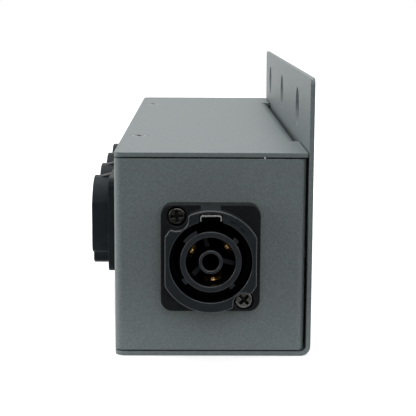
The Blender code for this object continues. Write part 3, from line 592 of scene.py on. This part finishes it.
class Finish:
    """A procedural material: a Principled shader and a few nodes in front of it."""

    def __init__(self, name, colour, roughness, metallic=0.0):
        self.material = bpy.data.materials.new(name)
        self.material.use_nodes = True
        self.tree = self.material.node_tree
        self.colour = colour
        self.place = self.tree.nodes.new("ShaderNodeTexCoord").outputs["Object"]
        self.set(Base_Color=(*colour, 1.0), Roughness=roughness, Metallic=metallic)

    def set(self, **inputs):
        feed(self.tree, self.tree.nodes["Principled BSDF"], **inputs)

    def noise(self, scale, detail=2.0, roughness=0.5, place=None):
        """A noise of so many lumps per metre."""
        return new_node(self.tree, "ShaderNodeTexNoise", Scale=scale, Detail=detail,
                        Roughness=roughness, Vector=place or self.place).outputs["Fac"]

    def stretched_noise(self, scales):
        mapping = new_node(self.tree, "ShaderNodeMapping", Scale=scales, Vector=self.place)
        return self.noise(1.0, place=mapping.outputs["Vector"])

    def vary_colour(self, source, span, amount):
        """Goes from darker to lighter over a span of the source's values."""
        dark = [value * (1 - amount) for value in self.colour]
        light = [value * (1 + amount) for value in self.colour]
        self.set(Base_Color=mixed(self.tree, ranged(self.tree, source, span, 0, 1), dark, light))

    def vary_roughness(self, source, low, high):
        self.set(Roughness=ranged(self.tree, source, NOISE_RANGE, low, high))

    def bump(self, source, strength, depth):
        item = new_node(self.tree, "ShaderNodeBump", Strength=strength, Distance=depth,
                        Height=source)
        self.set(Normal=item.outputs["Normal"])


def powder_coat():
    """Grey-green satin powder coat with a fine orange-peel grain."""
    finish = Finish("powder_coat", (0.106, 0.128, 0.132), 0.5)
    grain = finish.noise(2400, 2.0, 0.6)
    finish.vary_colour(grain, NOISE_RANGE, 0.22)
    finish.vary_roughness(finish.noise(1400), 0.47, 0.51)
    finish.bump(grain, 0.12, 0.03 * MM)
    return finish.material


def black_plastic(name, colour, gloss, roughness):
    """Moulded black polyamide, satin. Some of its copies carry painted shade."""
    finish = Finish(name, colour, roughness)
    finish.set(Specular_IOR_Level=gloss)
    finish.vary_colour(finish.noise(180, 3.0), NOISE_CORE, 0.12)
    finish.vary_roughness(finish.noise(420), roughness - 0.06, roughness + 0.06)
    finish.bump(finish.noise(2600), 0.12, 0.02 * MM)
    return finish.material


def edge_plastic():
    """The same polyamide on an edge's rounding, smoother, and lighter as a painted highlight."""
    finish = Finish("edge_plastic", (0.020, 0.024, 0.028), 0.24)
    finish.vary_roughness(finish.noise(420), 0.2, 0.28)
    finish.bump(finish.noise(2600), 0.08, 0.015 * MM)
    return finish.material


def gasket_rubber():
    finish = Finish("gasket_rubber", (0.010, 0.010, 0.011), 0.8)
    finish.vary_roughness(finish.noise(600), 0.72, 0.88)
    finish.bump(finish.noise(1500, 3.0), 0.3, 0.03 * MM)
    return finish.material


def metal(name, colour, roughness, spread, grain, grain_depth):
    """Plated metal with a fine grain and faint stains."""
    finish = Finish(name, colour, roughness, 1.0)
    finish.vary_colour(finish.noise(500, 3.0), NOISE_CORE, 0.12)
    finish.vary_roughness(finish.noise(900), roughness - spread, roughness + spread)
    finish.bump(finish.stretched_noise(grain), 0.25, grain_depth)
    return finish.material


def insulation(name, colour):
    finish = Finish(name, colour, 0.45)
    finish.vary_colour(finish.noise(300), NOISE_CORE, 0.08)
    finish.vary_roughness(finish.noise(500), 0.38, 0.52)
    finish.bump(finish.noise(1200, 1.0), 0.1, 0.02 * MM)
    return finish.material


def earth_insulation():
    """Green insulation with a yellow stripe that winds round it."""
    finish = Finish("earth_wire", EARTH_GREEN, 0.45)
    wave = new_node(finish.tree, "ShaderNodeTexWave", Scale=90.0, Vector=finish.place)
    wave.wave_type = "BANDS"
    wave.bands_direction = "DIAGONAL"
    stripe = ranged(finish.tree, wave.outputs["Fac"], (0.45, 0.55), 0, 1)
    finish.set(Base_Color=mixed(finish.tree, stripe, EARTH_GREEN, EARTH_YELLOW))
    finish.vary_roughness(finish.noise(500), 0.38, 0.52)
    return finish.material


def make_finishes():
    finishes = {"powder_coat": powder_coat(), "edge_plastic": edge_plastic(),
                "gasket_rubber": gasket_rubber(), "earth_wire": earth_insulation()}
    finishes.update({name: black_plastic(name, *look) for name, look in PLASTICS.items()})
    finishes.update({name: metal(name, *look) for name, look in METALS.items()})
    finishes.update({name: insulation(name, colour) for name, colour in WIRES.items()})
    return finishes


def shared_out(mesh, names, choose):
    """Gives each face one of the named finishes, as choose says from its middle and its normal."""
    mesh["finishes"] = names
    for face in mesh.polygons:
        face.material_index = names.index(choose(face.center, face.normal))
    return mesh


def add_piece(node, mesh, slot, finishes, matrix=None):
    """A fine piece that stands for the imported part's node of the same name."""
    names = mesh.get("finishes", [slot])
    chosen = [face.material_index for face in mesh.polygons]   # lost when the slots are cleared
    if matrix:
        mesh = moved(mesh, matrix)
    mesh.materials.clear()
    for name in names:
        mesh.materials.append(finishes[name])
    mesh.polygons.foreach_set("material_index", chosen)
    mesh.shade_smooth()
    mesh.set_sharp_from_angle(angle=math.radians(SHARP_ANGLE))
    piece = added(f"{node}_fine", mesh)
    normals = piece.modifiers.new("flat faces stay flat", "WEIGHTED_NORMAL")
    normals.keep_sharp = True
    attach(piece, "root")
    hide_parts(node)


# Sheet metal

def middle_of(node):
    low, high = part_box(node)
    return (low + high) / 2


def connector_matrix(name):
    """U to the right and V up as the connector is faced, W out of the panel."""
    middle = middle_of(f"{name}_housing")
    if name == "inlet":
        return Matrix.Translation((middle.x, Y_NEAR, middle.z)) @ spun(90, "X")
    return Matrix.Translation((X_FRONT, middle.y, middle.z)) @ spun(-90, "Z") @ spun(90, "X")


def screw_places():
    """Upper left and lower right, as the connector is faced."""
    upper_left = Vector((-SCREW_OFFSET_U, SCREW_OFFSET_V, 0))
    return upper_left, -upper_left


def at_screws(tool):
    return joined([moved(tool, Matrix.Translation(place)) for place in screw_places()])


def panel_cuts():
    """Holes through a panel for each connector's barrel and screws."""
    low = -3 * SHEET
    hole = joined([bore(PANEL_HOLE_RADIUS, low, SHEET),
                   at_screws(bore(THREAD_RADIUS + GAP, low, SHEET, segments=SCREW_SEGMENTS))])
    return joined([moved(hole, connector_matrix(name)) for name in ["inlet"] + OUTLETS])


def flush_screw_matrix(node):
    """The screw's frame: its head at the origin and its shank along -Z."""
    middle = middle_of(node)
    if node.startswith("cover_screw"):
        return Matrix.Translation((middle.x, middle.y, CASE_HEIGHT))
    if node.startswith("bottom_screw"):
        return Matrix.Translation((middle.x, middle.y, 0)) @ spun(180, "X")
    return Matrix.Translation((X_BACK, middle.y, middle.z)) @ spun(90, "Y")


def flush_screw_cuts(kinds):
    """Countersunk holes through two sheets, for the screws whose names start with one of kinds.

    The cone runs on past the sheet's face, so that no ring of the tool lies in it.
    """
    narrow = THREAD_RADIUS + GAP
    wide = 2 * (FLUSH_HEAD_RADIUS + GAP) - narrow
    tool = turned([(0, -FLUSH_LENGTH), (narrow, -FLUSH_LENGTH), (narrow, -SHEET),
                   (wide, SHEET), (0, SHEET)], SCREW_SEGMENTS)
    return joined([moved(tool, flush_screw_matrix(node)) for node in FLUSH_SCREWS
                   if node.startswith(kinds)])


def base_bend_relief():
    """Rounds what stands in the base's bend, so that it follows the bend at the usual gap."""
    centre = Vector((X_BACK - SHEET - BASE_BEND, SHEET + BASE_BEND))
    radius = BASE_BEND - GAP
    reach = radius + SHEET
    outline = arc(centre, radius, 0, -90, CORNER_STEPS)
    outline += [centre + Vector((0, -reach)), centre + Vector((reach, -reach)),
                centre + Vector((reach, 0))]
    return block(outline[::-1], Y_NEAR - SHEET, Y_FAR + SHEET, plane="XZ")


def chassis():
    """Front panel, both end walls, their return flanges and the front panel's two lips."""
    wall_low = SHEET + END_WALL_GAP
    wall_high = CASE_HEIGHT - SHEET - END_WALL_GAP
    plan = [(X_RETURN, Y_FAR - RETURN_WIDTH), (X_RETURN, Y_FAR), (X_FRONT, Y_FAR),
            (X_FRONT, Y_NEAR), (X_RETURN, Y_NEAR), (X_RETURN, Y_NEAR + RETURN_WIDTH)]
    walls = softened(block(bent_sheet(plan, CHASSIS_BEND), wall_low, wall_high))

    lip_low = SHEET + GAP
    lip_high = CASE_HEIGHT - SHEET - GAP
    bend = CHASSIS_BEND + SHEET
    root = bend + 2 * SHEET
    near = Y_NEAR + LIP_INSET
    far = Y_FAR - LIP_INSET
    slit = bend + OVERLAP
    strip = rectangle((X_FRONT - SHEET, near), (X_FRONT + 2 * SHEET, far))
    for low, high in ((wall_low - SHEET, lip_low + slit), (lip_high - slit, wall_high + SHEET)):
        walls = cut(walls, block(strip, low, high))
    face = X_FRONT + LIP_SHIFT
    upper = [(X_FRONT + LIP_WIDTH, lip_high), (face, lip_high), (face, lip_high - root)]
    lower = [(face, lip_low + root), (face, lip_low), (X_FRONT + LIP_WIDTH, lip_low)]
    for path in (upper, lower):
        lip = block(bent_sheet(path, CHASSIS_BEND), near + RELIEF, far - RELIEF, plane="XZ")
        walls = fused(walls, lip)
    screws = ("cover_screw", "bottom_screw", "end_wall_screw")
    return cut(walls, base_bend_relief(), panel_cuts(), flush_screw_cuts(screws))


def mount_hole():
    """A hole through the flange, with both rims rounded."""
    wide = MOUNT_HOLE_RADIUS + HOLE_EDGE
    half = SHEET / 2
    straight = half - HOLE_EDGE
    profile = [(0, -half - BEYOND), (wide, -half - BEYOND), (wide, -half)]
    profile += arc((wide, -straight), HOLE_EDGE, 270, 180, EDGE_STEPS)
    profile += arc((wide, straight), HOLE_EDGE, 180, 90, EDGE_STEPS)
    profile += [(wide, half + BEYOND), (0, half + BEYOND)]
    return turned(profile)


def base():
    """Bottom plate and back plate, bent from one sheet, with the mounting flange and its holes."""
    def bottom_corner(a, b):
        return max(a.x, b.x) < X_FRONT + SHEET / 2 and a.y == b.y

    def flange_corner(a, b):
        return min(a.z, b.z) > Z_TOP - SHEET / 2 and a.y == b.y

    path = [(X_FRONT, 0), (X_BACK, 0), (X_BACK, Z_TOP)]
    sheet = softened(block(bent_sheet(path, BASE_BEND), Y_NEAR, Y_FAR, plane="XZ"),
                     [(BASE_CORNER, bottom_corner), (FLANGE_CORNER, flange_corner)])
    holes = []
    for opening in frame["record"]["physics"]["openings"]:
        if opening["name"].startswith("flange_hole"):
            low, high = [Vector(corner) for corner in opening["box_m"]]
            place = Vector((X_BACK - SHEET / 2, (low.y + high.y) / 2, (low.z + high.z) / 2))
            holes.append(moved(mount_hole(), Matrix.Translation(place) @ spun(90, "Y")))
    screws = ("bottom_screw", "cover_flange_screw", "end_wall_screw")
    return cut(sheet, joined(holes), flush_screw_cuts(screws))


def cover():
    """Flat top with a rear flange bent down inside the back plate, except at its two ends."""
    bend = COVER_BEND + SHEET
    near = Y_NEAR + COVER_EAR
    far = Y_FAR - COVER_EAR
    plan = rounded_outline([
        (X_FRONT, Y_FAR, COVER_CORNER), (X_FRONT, Y_NEAR, COVER_CORNER),
        (X_INSIDE, Y_NEAR), (X_INSIDE, near), (X_INSIDE - bend, near),
        (X_INSIDE - bend, far), (X_INSIDE, far), (X_INSIDE, Y_FAR)], CORNER_STEPS)
    plate = softened(block(plan, CASE_HEIGHT - SHEET, CASE_HEIGHT))
    path = [(X_INSIDE, CASE_HEIGHT - COVER_FLANGE_DEPTH), (X_INSIDE, CASE_HEIGHT),
            (X_INSIDE - bend - 2 * SHEET, CASE_HEIGHT)]
    flange = softened(block(bent_sheet(path, COVER_BEND), near + RELIEF, far - RELIEF, plane="XZ"))
    return cut(fused(plate, flange), flush_screw_cuts(("cover_screw", "cover_flange_screw")))


# Connector pieces, drawn in their connector's frame

def flange_outline():
    corner = Vector((CONNECTOR_WIDTH, CONNECTOR_HEIGHT)) / 2
    return rectangle(-corner, corner, CONNECTOR_CORNER)


def gasket():
    sheet = block(flange_outline(), GAP, GAP + GASKET_THICKNESS)
    shanks = at_screws(bore(THREAD_RADIUS + GAP, -GAP, FLANGE_FACE, segments=SCREW_SEGMENTS))
    return cut(sheet, bore(PANEL_HOLE_RADIUS, -GAP, FLANGE_FACE), shanks)


def crescent_groove():
    """A narrow groove in the bezel's face, with sloping sides, that thins out at both ends."""
    def crescent(share):
        middle = GROOVE_RADIUS + GROOVE_WIDTH / 2
        line = arc((0, 0), middle, *GROOVE_ANGLES, GROOVE_STEPS)
        swell = [math.sin(math.pi * index / GROOVE_STEPS) for index in range(GROOVE_STEPS + 1)]
        halves = [GROOVE_WIDTH / 2 * share * (GROOVE_END + (1 - GROOVE_END) * value)
                  for value in swell]
        outer = [point * (1 + half / middle) for point, half in zip(line, halves)]
        inner = [point * (1 - half / middle) for point, half in zip(line, halves)]
        return outer + inner[::-1]

    return stacked([(crescent(GROOVE_FLOOR), BEZEL_FACE - GROOVE_DEPTH), (crescent(1), BEZEL_FACE),
                    (crescent(1), BEZEL_FACE + BEYOND)])


def housing():
    """Flange, bezel and barrel with the socket's mouth, keyway and screw recesses."""
    back = 2 * GAP + GASKET_THICKNESS
    flange = block(flange_outline(), back, FLANGE_FACE, top=FLANGE_EDGE)
    root = FLANGE_FACE - OVERLAP
    bezel = block(bezel_outline(), root, BEZEL_FACE, top=BEZEL_EDGE)
    start = BEZEL_FACE - PAD_START
    top = CONNECTOR_HEIGHT / 2 - PAD_SETBACK
    side = rounded_outline([(0, root), (top, root), (top, FLANGE_FACE),
                            (BEZEL_RADIUS - OVERLAP, start), (0, start)])
    pad = block(side, -PAD_WIDTH / 2, PAD_WIDTH / 2, PAD_EDGE, PAD_EDGE, "YZ")
    barrel = block(circle(BARREL_RADIUS), -BARREL_DEPTH, root)
    body = fused(flange, bezel, pad, barrel)

    mouth = bore(WELL_RADIUS, BEZEL_FACE - WELL_DEPTH, BEZEL_FACE, WELL_EDGE)
    throat = bore(THROAT_RADIUS, -BARREL_DEPTH - BEYOND, BEZEL_FACE)
    slot = rectangle((-KEYWAY_HALF, WELL_RADIUS / 2), (KEYWAY_HALF, STRIKE_TOP + GAP), STRIKE_BEND)
    keyway = flared_cutter(slot, STRIKE_FACE - STRIKE_DEPTH - GAP, BEZEL_FACE, WELL_EDGE / 2)
    heads = at_screws(bore(PAN_SEAT_RADIUS, PAN_SEAT, FLANGE_FACE, SCREW_RIM, SCREW_SEGMENTS * 2))
    shanks = at_screws(bore(THREAD_RADIUS + GAP, -SHEET, BEZEL_FACE, segments=SCREW_SEGMENTS))
    return cut(body, mouth, throat, keyway, heads, shanks, crescent_groove())


def housing_finish(body, side, front, edge):
    """A copy with finishes for its sides and flange, its bezel's front, and that front's edges, and
    near-black painted shade deep in the socket and keyway. The inlet's sides and flange take a
    darker copy of the front's plastic as painted shade, its front's edge roundings a lighter copy as
    painted highlight.
    """
    def choose(middle, normal):
        inside = middle.xy.length < WELL_RADIUS + WELL_EDGE / 2 or (
            abs(middle.x) < KEYWAY_HALF and 0 < middle.y < STRIKE_TOP + 1.5 * GAP)
        on_flange = abs(middle.z - FLANGE_FACE) < FLANGE_EDGE
        # painted shade: near black on the faces deep in the socket and keyway
        if inside and middle.z < BEZEL_FACE - WELL_EDGE and not on_flange:
            return "inner_plastic"
        # painted highlight: the front's edge roundings take a lighter, smoother copy
        if SIDE_SLOPE < normal.z < EDGE_SLOPE and middle.z > BEZEL_FACE - BEZEL_EDGE:
            return edge
        # painted shade: the inlet's sides and flange take the darker copy, its raised front the
        # lighter one
        raised = normal.z > SIDE_SLOPE and middle.z > FLANGE_FACE + OVERLAP / 2
        return front if raised else side

    return shared_out(body.copy(), sorted({side, front, edge, "inner_plastic"}), choose)


def strike():
    """Bent steel strip lining the keyway's top and sides, for the plug's latch."""
    half = STRIKE_WIDTH / 2
    low = STRIKE_TOP - STRIKE_LEG
    inside = half - STRIKE_THICKNESS
    outer_bend = STRIKE_BEND + STRIKE_THICKNESS
    outer = rounded_outline([(half, low), (half, STRIKE_TOP, outer_bend),
                             (-half, STRIKE_TOP, outer_bend), (-half, low)],
                            CORNER_STEPS, closed=False)
    roof = STRIKE_TOP - STRIKE_THICKNESS
    inner = rounded_outline([(-inside, low), (-inside, roof, STRIKE_BEND),
                             (inside, roof, STRIKE_BEND), (inside, low)],
                            CORNER_STEPS, closed=False)
    return block(outer + inner, STRIKE_FACE - STRIKE_DEPTH, STRIKE_FACE, STRIKE_EDGE, STRIKE_EDGE)


def contact_turn(angle):
    """Turns what is drawn above the axis to its place on the contact circle."""
    return spun(angle - 90, "Z")


def contact_slots(width, thickness, low, high):
    slot = block(rectangle((-width / 2, CONTACT_RADIUS - thickness / 2),
                           (width / 2, CONTACT_RADIUS + thickness / 2)), low, high)
    return joined([moved(slot, contact_turn(angle)) for angle in CONTACT_ANGLES.values()])


def sector_key(start, end):
    """A key on the ring's outside between two angles, sunk into the ring."""
    face = CARRIER_FACE - KEY_RECESS
    outline = arc((0, 0), RING_OUTER + KEY_REACH, start, end)
    outline += arc((0, 0), RING_OUTER - OVERLAP, end, start)
    return block(outline, face - KEY_LENGTH, face, top=KEY_EDGE)


def carrier(keys, hollow):
    """Cap, seat, ring and centre tube in one turned shape, with the ring's keys."""
    face = CARRIER_FACE
    seat = THROAT_RADIUS - GAP
    bore_floor = face - TUBE_DEPTH
    profile = [(0, CAP_BACK), (BARREL_RADIUS, CAP_BACK, CAP_EDGE), (BARREL_RADIUS, CAP_FRONT),
               (seat, CAP_FRONT), (seat, SEAT_FRONT), (RING_OUTER, SEAT_FRONT),
               (RING_OUTER, face, RING_EDGE)]
    if hollow:
        profile += [(RING_INNER, face, RING_EDGE), (RING_INNER, SEAT_FRONT),
                    (TUBE_OUTER, SEAT_FRONT), (TUBE_OUTER, face, RING_EDGE)]
    profile += [(TUBE_INNER, face, RING_EDGE), (TUBE_INNER, bore_floor), (0, bore_floor)]
    return fused(turned(profile), *[sector_key(start, end) for start, end in keys])


def carrier_finish(body):
    """Grey-black at its front, with a painted highlight on the front's edge roundings and near-black
    painted shade where it lies deep in the socket.
    """
    def choose(middle, normal):
        deep = middle.z < CARRIER_FACE - CARRIER_DEEP
        web = abs(middle.z - (CARRIER_FACE - WEB_RECESS)) < KEY_EDGE and normal.z > SIDE_SLOPE
        # painted shade: near black where it lies deep in the socket
        if deep and not web:
            return "inner_plastic"
        # painted highlight on the front's edge roundings
        edge = SIDE_SLOPE < normal.z < EDGE_SLOPE and middle.z > CARRIER_FACE - RING_EDGE
        return "edge_plastic" if edge else "carrier_plastic"

    return shared_out(body, ["carrier_plastic", "inner_plastic", "edge_plastic"], choose)


def inlet_carrier():
    """Male carrier: a ring and a tube joined by three webs, open between them for the blades."""
    web = block(rectangle((-WEB_THICKNESS / 2, TUBE_INNER + OVERLAP),
                          (WEB_THICKNESS / 2, RING_INNER + OVERLAP)),
                SEAT_FRONT - OVERLAP, CARRIER_FACE - WEB_RECESS, top=WEB_EDGE)
    webs = [moved(web, contact_turn(angle)) for angle in INLET_WEBS]
    slots = contact_slots(BLADE_WIDTH + 2 * GAP, BLADE_THICKNESS + 2 * GAP, CAP_BACK - SHEET, 0)
    return carrier_finish(cut(fused(carrier(INLET_KEYS, True), *webs), slots))


def outlet_carrier():
    """Female carrier: a solid core with a centre bore and three slots that hold the forks."""
    slots = contact_slots(BLADE_WIDTH + 2 * GAP, FORK_THICKNESS + 2 * GAP,
                          CAP_BACK - SHEET, CARRIER_FACE + SHEET)
    return carrier_finish(cut(carrier(OUTLET_KEYS, False), slots))


def blade_contact():
    """Male blade, its tip narrowed and rounded, running through to its solder tab."""
    tip = CARRIER_FACE - BLADE_RECESS
    shoulder = tip - BLADE_TAPER
    half = BLADE_WIDTH / 2
    narrow = BLADE_TIP / 2
    outline = rounded_outline([
        (-half, -TAB_END), (half, -TAB_END), (half, shoulder, BLADE_SHOULDER),
        (narrow, tip, BLADE_TIP_CORNER), (-narrow, tip, BLADE_TIP_CORNER),
        (-half, shoulder, BLADE_SHOULDER)])
    low = CONTACT_RADIUS - BLADE_THICKNESS / 2
    return block(outline[::-1], low, low + BLADE_THICKNESS, BLADE_EDGE, BLADE_EDGE, "XZ")


def fork_contact():
    """Female fork: two leaves round a slit at the front, a thinner tab at the rear."""
    tip = CARRIER_FACE - FORK_RECESS
    middle = CONTACT_RADIUS
    outer = FORK_THICKNESS / 2
    slit = FORK_SLIT / 2
    tab = BLADE_THICKNESS / 2
    shoulder = CAP_BACK - GAP
    floor = tip - FORK_SLIT_DEPTH
    leaf = FORK_LEAF_CORNER
    outline = rounded_outline([
        (middle - tab, -TAB_END), (middle + tab, -TAB_END), (middle + tab, shoulder),
        (middle + outer, shoulder), (middle + outer, tip, leaf), (middle + slit, tip, leaf),
        (middle + slit, floor, leaf), (middle - slit, floor, leaf), (middle - slit, tip, leaf),
        (middle - outer, tip, leaf), (middle - outer, shoulder), (middle - tab, shoulder)])
    return block(outline, -BLADE_WIDTH / 2, BLADE_WIDTH / 2, FORK_EDGE, FORK_EDGE, "YZ")


def cross_recess(top, turn):
    """A cross-shaped drive recess that narrows towards its floor."""
    half = CROSS_LENGTH / 2
    wide = CROSS_WIDTH / 2
    corners = []
    for quarter in range(4):
        spin = Matrix.Rotation(math.radians(90 * quarter), 2)
        corners += [spin @ Vector((half, -wide)), spin @ Vector((half, wide)),
                    (*(spin @ Vector((wide, wide))), CROSS_CORNER)]
    outline = rounded_outline(corners)
    rings = [(-CROSS_TAPER, top - CROSS_DEPTH), (0, top - CROSS_RIM), (CROSS_RIM, top),
             (CROSS_RIM, top + BEYOND)]
    return moved(lofted(outline, rings), spun(turn, "Z"))


def screw_finish(body, top, plating):
    """Plated head, with near-black painted shade inside the drive recess and along the shank."""
    def choose(middle, normal):
        # painted shade: the drive recess, and the shank, whose faces lie within the same radius
        recess = middle.z < top - CROSS_RIM and middle.xy.length < CROSS_LENGTH / 2
        return "screw_painted_shade" if recess else plating

    return shared_out(body, [plating, "screw_painted_shade"], choose)


def pan_screw(turn, plating):
    """Panel screw: a domed cross-recess head and its shank."""
    seat = PAN_SEAT + GAP
    top = seat + PAN_HEAD_HEIGHT
    end = seat - PAN_LENGTH
    profile = [(0, end), (THREAD_RADIUS, end, SHANK_EDGE), (THREAD_RADIUS, seat),
               (PAN_HEAD_RADIUS, seat, HEAD_EDGE),
               (PAN_HEAD_RADIUS, top - PAN_HEAD_RISE, PAN_HEAD_CROWN), (0, top)]
    body = cut(turned(profile, SCREW_SEGMENTS, PAN_STEPS), cross_recess(top, turn))
    return screw_finish(body, top, plating)


def flush_screw():
    """Countersunk cross-recess screw, its head level with the sheet."""
    top = -FLUSH_SINK
    neck = top - (FLUSH_HEAD_RADIUS - THREAD_RADIUS)
    profile = [(0, -FLUSH_LENGTH), (THREAD_RADIUS, -FLUSH_LENGTH, SHANK_EDGE),
               (THREAD_RADIUS, neck), (FLUSH_HEAD_RADIUS, top, HEAD_EDGE), (0, top)]
    body = cut(turned(profile, SCREW_SEGMENTS), cross_recess(top, FLUSH_TURN))
    return screw_finish(body, top, "dark_nickel")


def add_connectors(finishes):
    """The inlet and the outlets, from meshes that are made once."""
    shared = {"gasket": (gasket(), "gasket_rubber"), "latch_strike": (strike(), "strike_steel")}
    body = housing()
    # the inlet housing, with painted shade on its sides and flange and a painted highlight on its
    # front's edges
    inlet_shaded_housing = housing_finish(body, "black_plastic", "bezel_plastic", "edge_plastic")
    # the outlet housings, one dimmed copy of the same moulding all over, as painted shade
    outlet_dimmed_housing = housing_finish(body, "outlet_plastic", "outlet_plastic", "outlet_plastic")
    black = "black_plastic"
    male = {"housing": (inlet_shaded_housing, black), "carrier": (inlet_carrier(), black)}
    female = {"housing": (outlet_dimmed_housing, black), "carrier": (outlet_carrier(), black)}
    screws = {name: pan_screw(*look) for name, look in PAN_SCREWS.items()}
    blade = blade_contact()
    fork = fork_contact()
    for connector in ["inlet"] + OUTLETS:
        matrix = connector_matrix(connector)
        own, contact = (male, blade) if connector == "inlet" else (female, fork)
        for name, (mesh, slot) in {**shared, **own}.items():
            add_piece(f"{connector}_{name}", mesh, slot, finishes, matrix)
        for (name, mesh), place in zip(screws.items(), screw_places()):
            add_piece(f"{connector}_{name}", mesh, "dark_nickel", finishes,
                      matrix @ Matrix.Translation(place))
        for pole, angle in CONTACT_ANGLES.items():
            add_piece(f"{connector}_{pole}_contact", contact, "contact_brass", finishes,
                      matrix @ contact_turn(angle))


# Stage

def calculated(tree, operation, first, second):
    """A Math node's result."""
    item = tree.nodes.new("ShaderNodeMath")
    item.operation = operation
    for socket, operand in zip(item.inputs, (first, second)):
        plug(tree, socket, operand)
    return item.outputs[0]


def y_of(tree, output):
    """The Y of one of the texture coordinates."""
    place = tree.nodes.new("ShaderNodeTexCoord")
    split = new_node(tree, "ShaderNodeSeparateXYZ", Vector=place.outputs[output])
    return split.outputs["Y"]


def add_floor():
    """A floor that is seen white and keeps the object's shadow.

    It lights the object from below and behind. In front, where a photographer keeps the studio
    dark, it is grey to everything but the camera.
    """
    bm = bmesh.new()
    bmesh.ops.create_grid(bm, x_segments=1, y_segments=1, size=FLOOR_REACH)
    mesh = bpy.data.meshes.new("floor")
    bm.to_mesh(mesh)
    bm.free()
    floor = added("floor", mesh)
    floor.location = (0, 0, -FLOOR_DROP)
    material = bpy.data.materials.new("floor")
    material.use_nodes = True
    tree = material.node_tree
    along = y_of(tree, "Object")
    behind = ranged(tree, along, FLOOR_FADE, 0.0, 1.0, "SMOOTHSTEP")
    grey = mixed(tree, behind, (FLOOR_DARK,) * 3, (FLOOR_PALE,) * 3)
    shader = feed(tree, tree.nodes["Principled BSDF"], Base_Color=grey,
                  Roughness=FLOOR_ROUGHNESS, Specular_IOR_Level=0.0)

    path = tree.nodes.new("ShaderNodeLightPath").outputs
    level = ranged(tree, along, FLOOR_FADE, FLOOR_FRONT_GLOW, FLOOR_GLOW, "SMOOTHSTEP")
    seen = calculated(tree, "MULTIPLY", path["Is Camera Ray"], level)
    mirrored = calculated(tree, "MAXIMUM", path["Is Glossy Ray"], path["Is Transmission Ray"])
    mirrored = calculated(tree, "MULTIPLY", mirrored,
                          calculated(tree, "MULTIPLY", behind, FLOOR_GLOW))
    glow = new_node(tree, "ShaderNodeEmission", Strength=calculated(tree, "ADD", seen, mirrored))
    total = tree.nodes.new("ShaderNodeAddShader")
    tree.links.new(shader.outputs[0], total.inputs[0])
    tree.links.new(glow.outputs[0], total.inputs[1])
    feed(tree, tree.nodes["Material Output"], Surface=total.outputs[0])
    floor.data.materials.append(material)


def add_world():
    """White where it is seen, brighter behind the object than in front of it."""
    world = bpy.data.worlds.new("studio")
    bpy.context.scene.world = world
    world.use_nodes = True
    tree = world.node_tree
    tree.nodes.clear()
    level = ranged(tree, y_of(tree, "Generated"), WORLD_FADE, WORLD_DIM, 1.0, "SMOOTHSTEP")
    studio = new_node(tree, "ShaderNodeBackground", Color=WORLD_COLOUR, Strength=level)
    white = new_node(tree, "ShaderNodeBackground", Color=(1.0, 1.0, 1.0, 1.0))
    path = tree.nodes.new("ShaderNodeLightPath")
    mix = new_node(tree, "ShaderNodeMixShader", Fac=path.outputs["Is Camera Ray"])
    tree.links.new(studio.outputs[0], mix.inputs[1])
    tree.links.new(white.outputs[0], mix.inputs[2])
    new_node(tree, "ShaderNodeOutputWorld", Surface=mix.outputs[0])


def add_lamp(name, place, target, size, power):
    """A square soft lamp that points at a place."""
    lamp = bpy.data.lights.new(name, "AREA")
    lamp.size = size
    lamp.energy = power
    item = added(name, lamp)
    item.location = place
    item.rotation_euler = (Vector(target) - Vector(place)).to_track_quat("-Z", "Y").to_euler()


def add_camera():
    data = bpy.data.cameras.new("camera")
    data.sensor_width = CAMERA_SENSOR
    data.lens = CAMERA_LENS
    camera = added("camera", data)
    camera.matrix_world = (Matrix.Translation(CAMERA_PLACE)
                           @ Matrix.Rotation(CAMERA_YAW, 4, "Z")
                           @ Matrix.Rotation(-CAMERA_PITCH, 4, "X")
                           @ Matrix.Rotation(CAMERA_ROLL, 4, "Y") @ spun(90, "X"))
    bpy.context.scene.camera = camera


def main():
    finishes = make_finishes()
    for node, mesh in (("base", base()), ("chassis", chassis()), ("top_cover", cover())):
        add_piece(node, mesh, "powder_coat", finishes)
    screw = flush_screw()
    for node in FLUSH_SCREWS:
        add_piece(node, screw, "dark_nickel", finishes, flush_screw_matrix(node))
    add_connectors(finishes)
    for node, finish in CARRIED.items():
        materials = frame["nodes"][node].data.materials
        materials.clear()
        materials.append(finishes[finish])

    add_floor()
    add_world()
    for name, (place, target, size, power) in LAMPS.items():
        add_lamp(name, place, target, size, power)
    add_camera()
    bpy.context.scene.view_settings.view_transform = "Standard"


main()
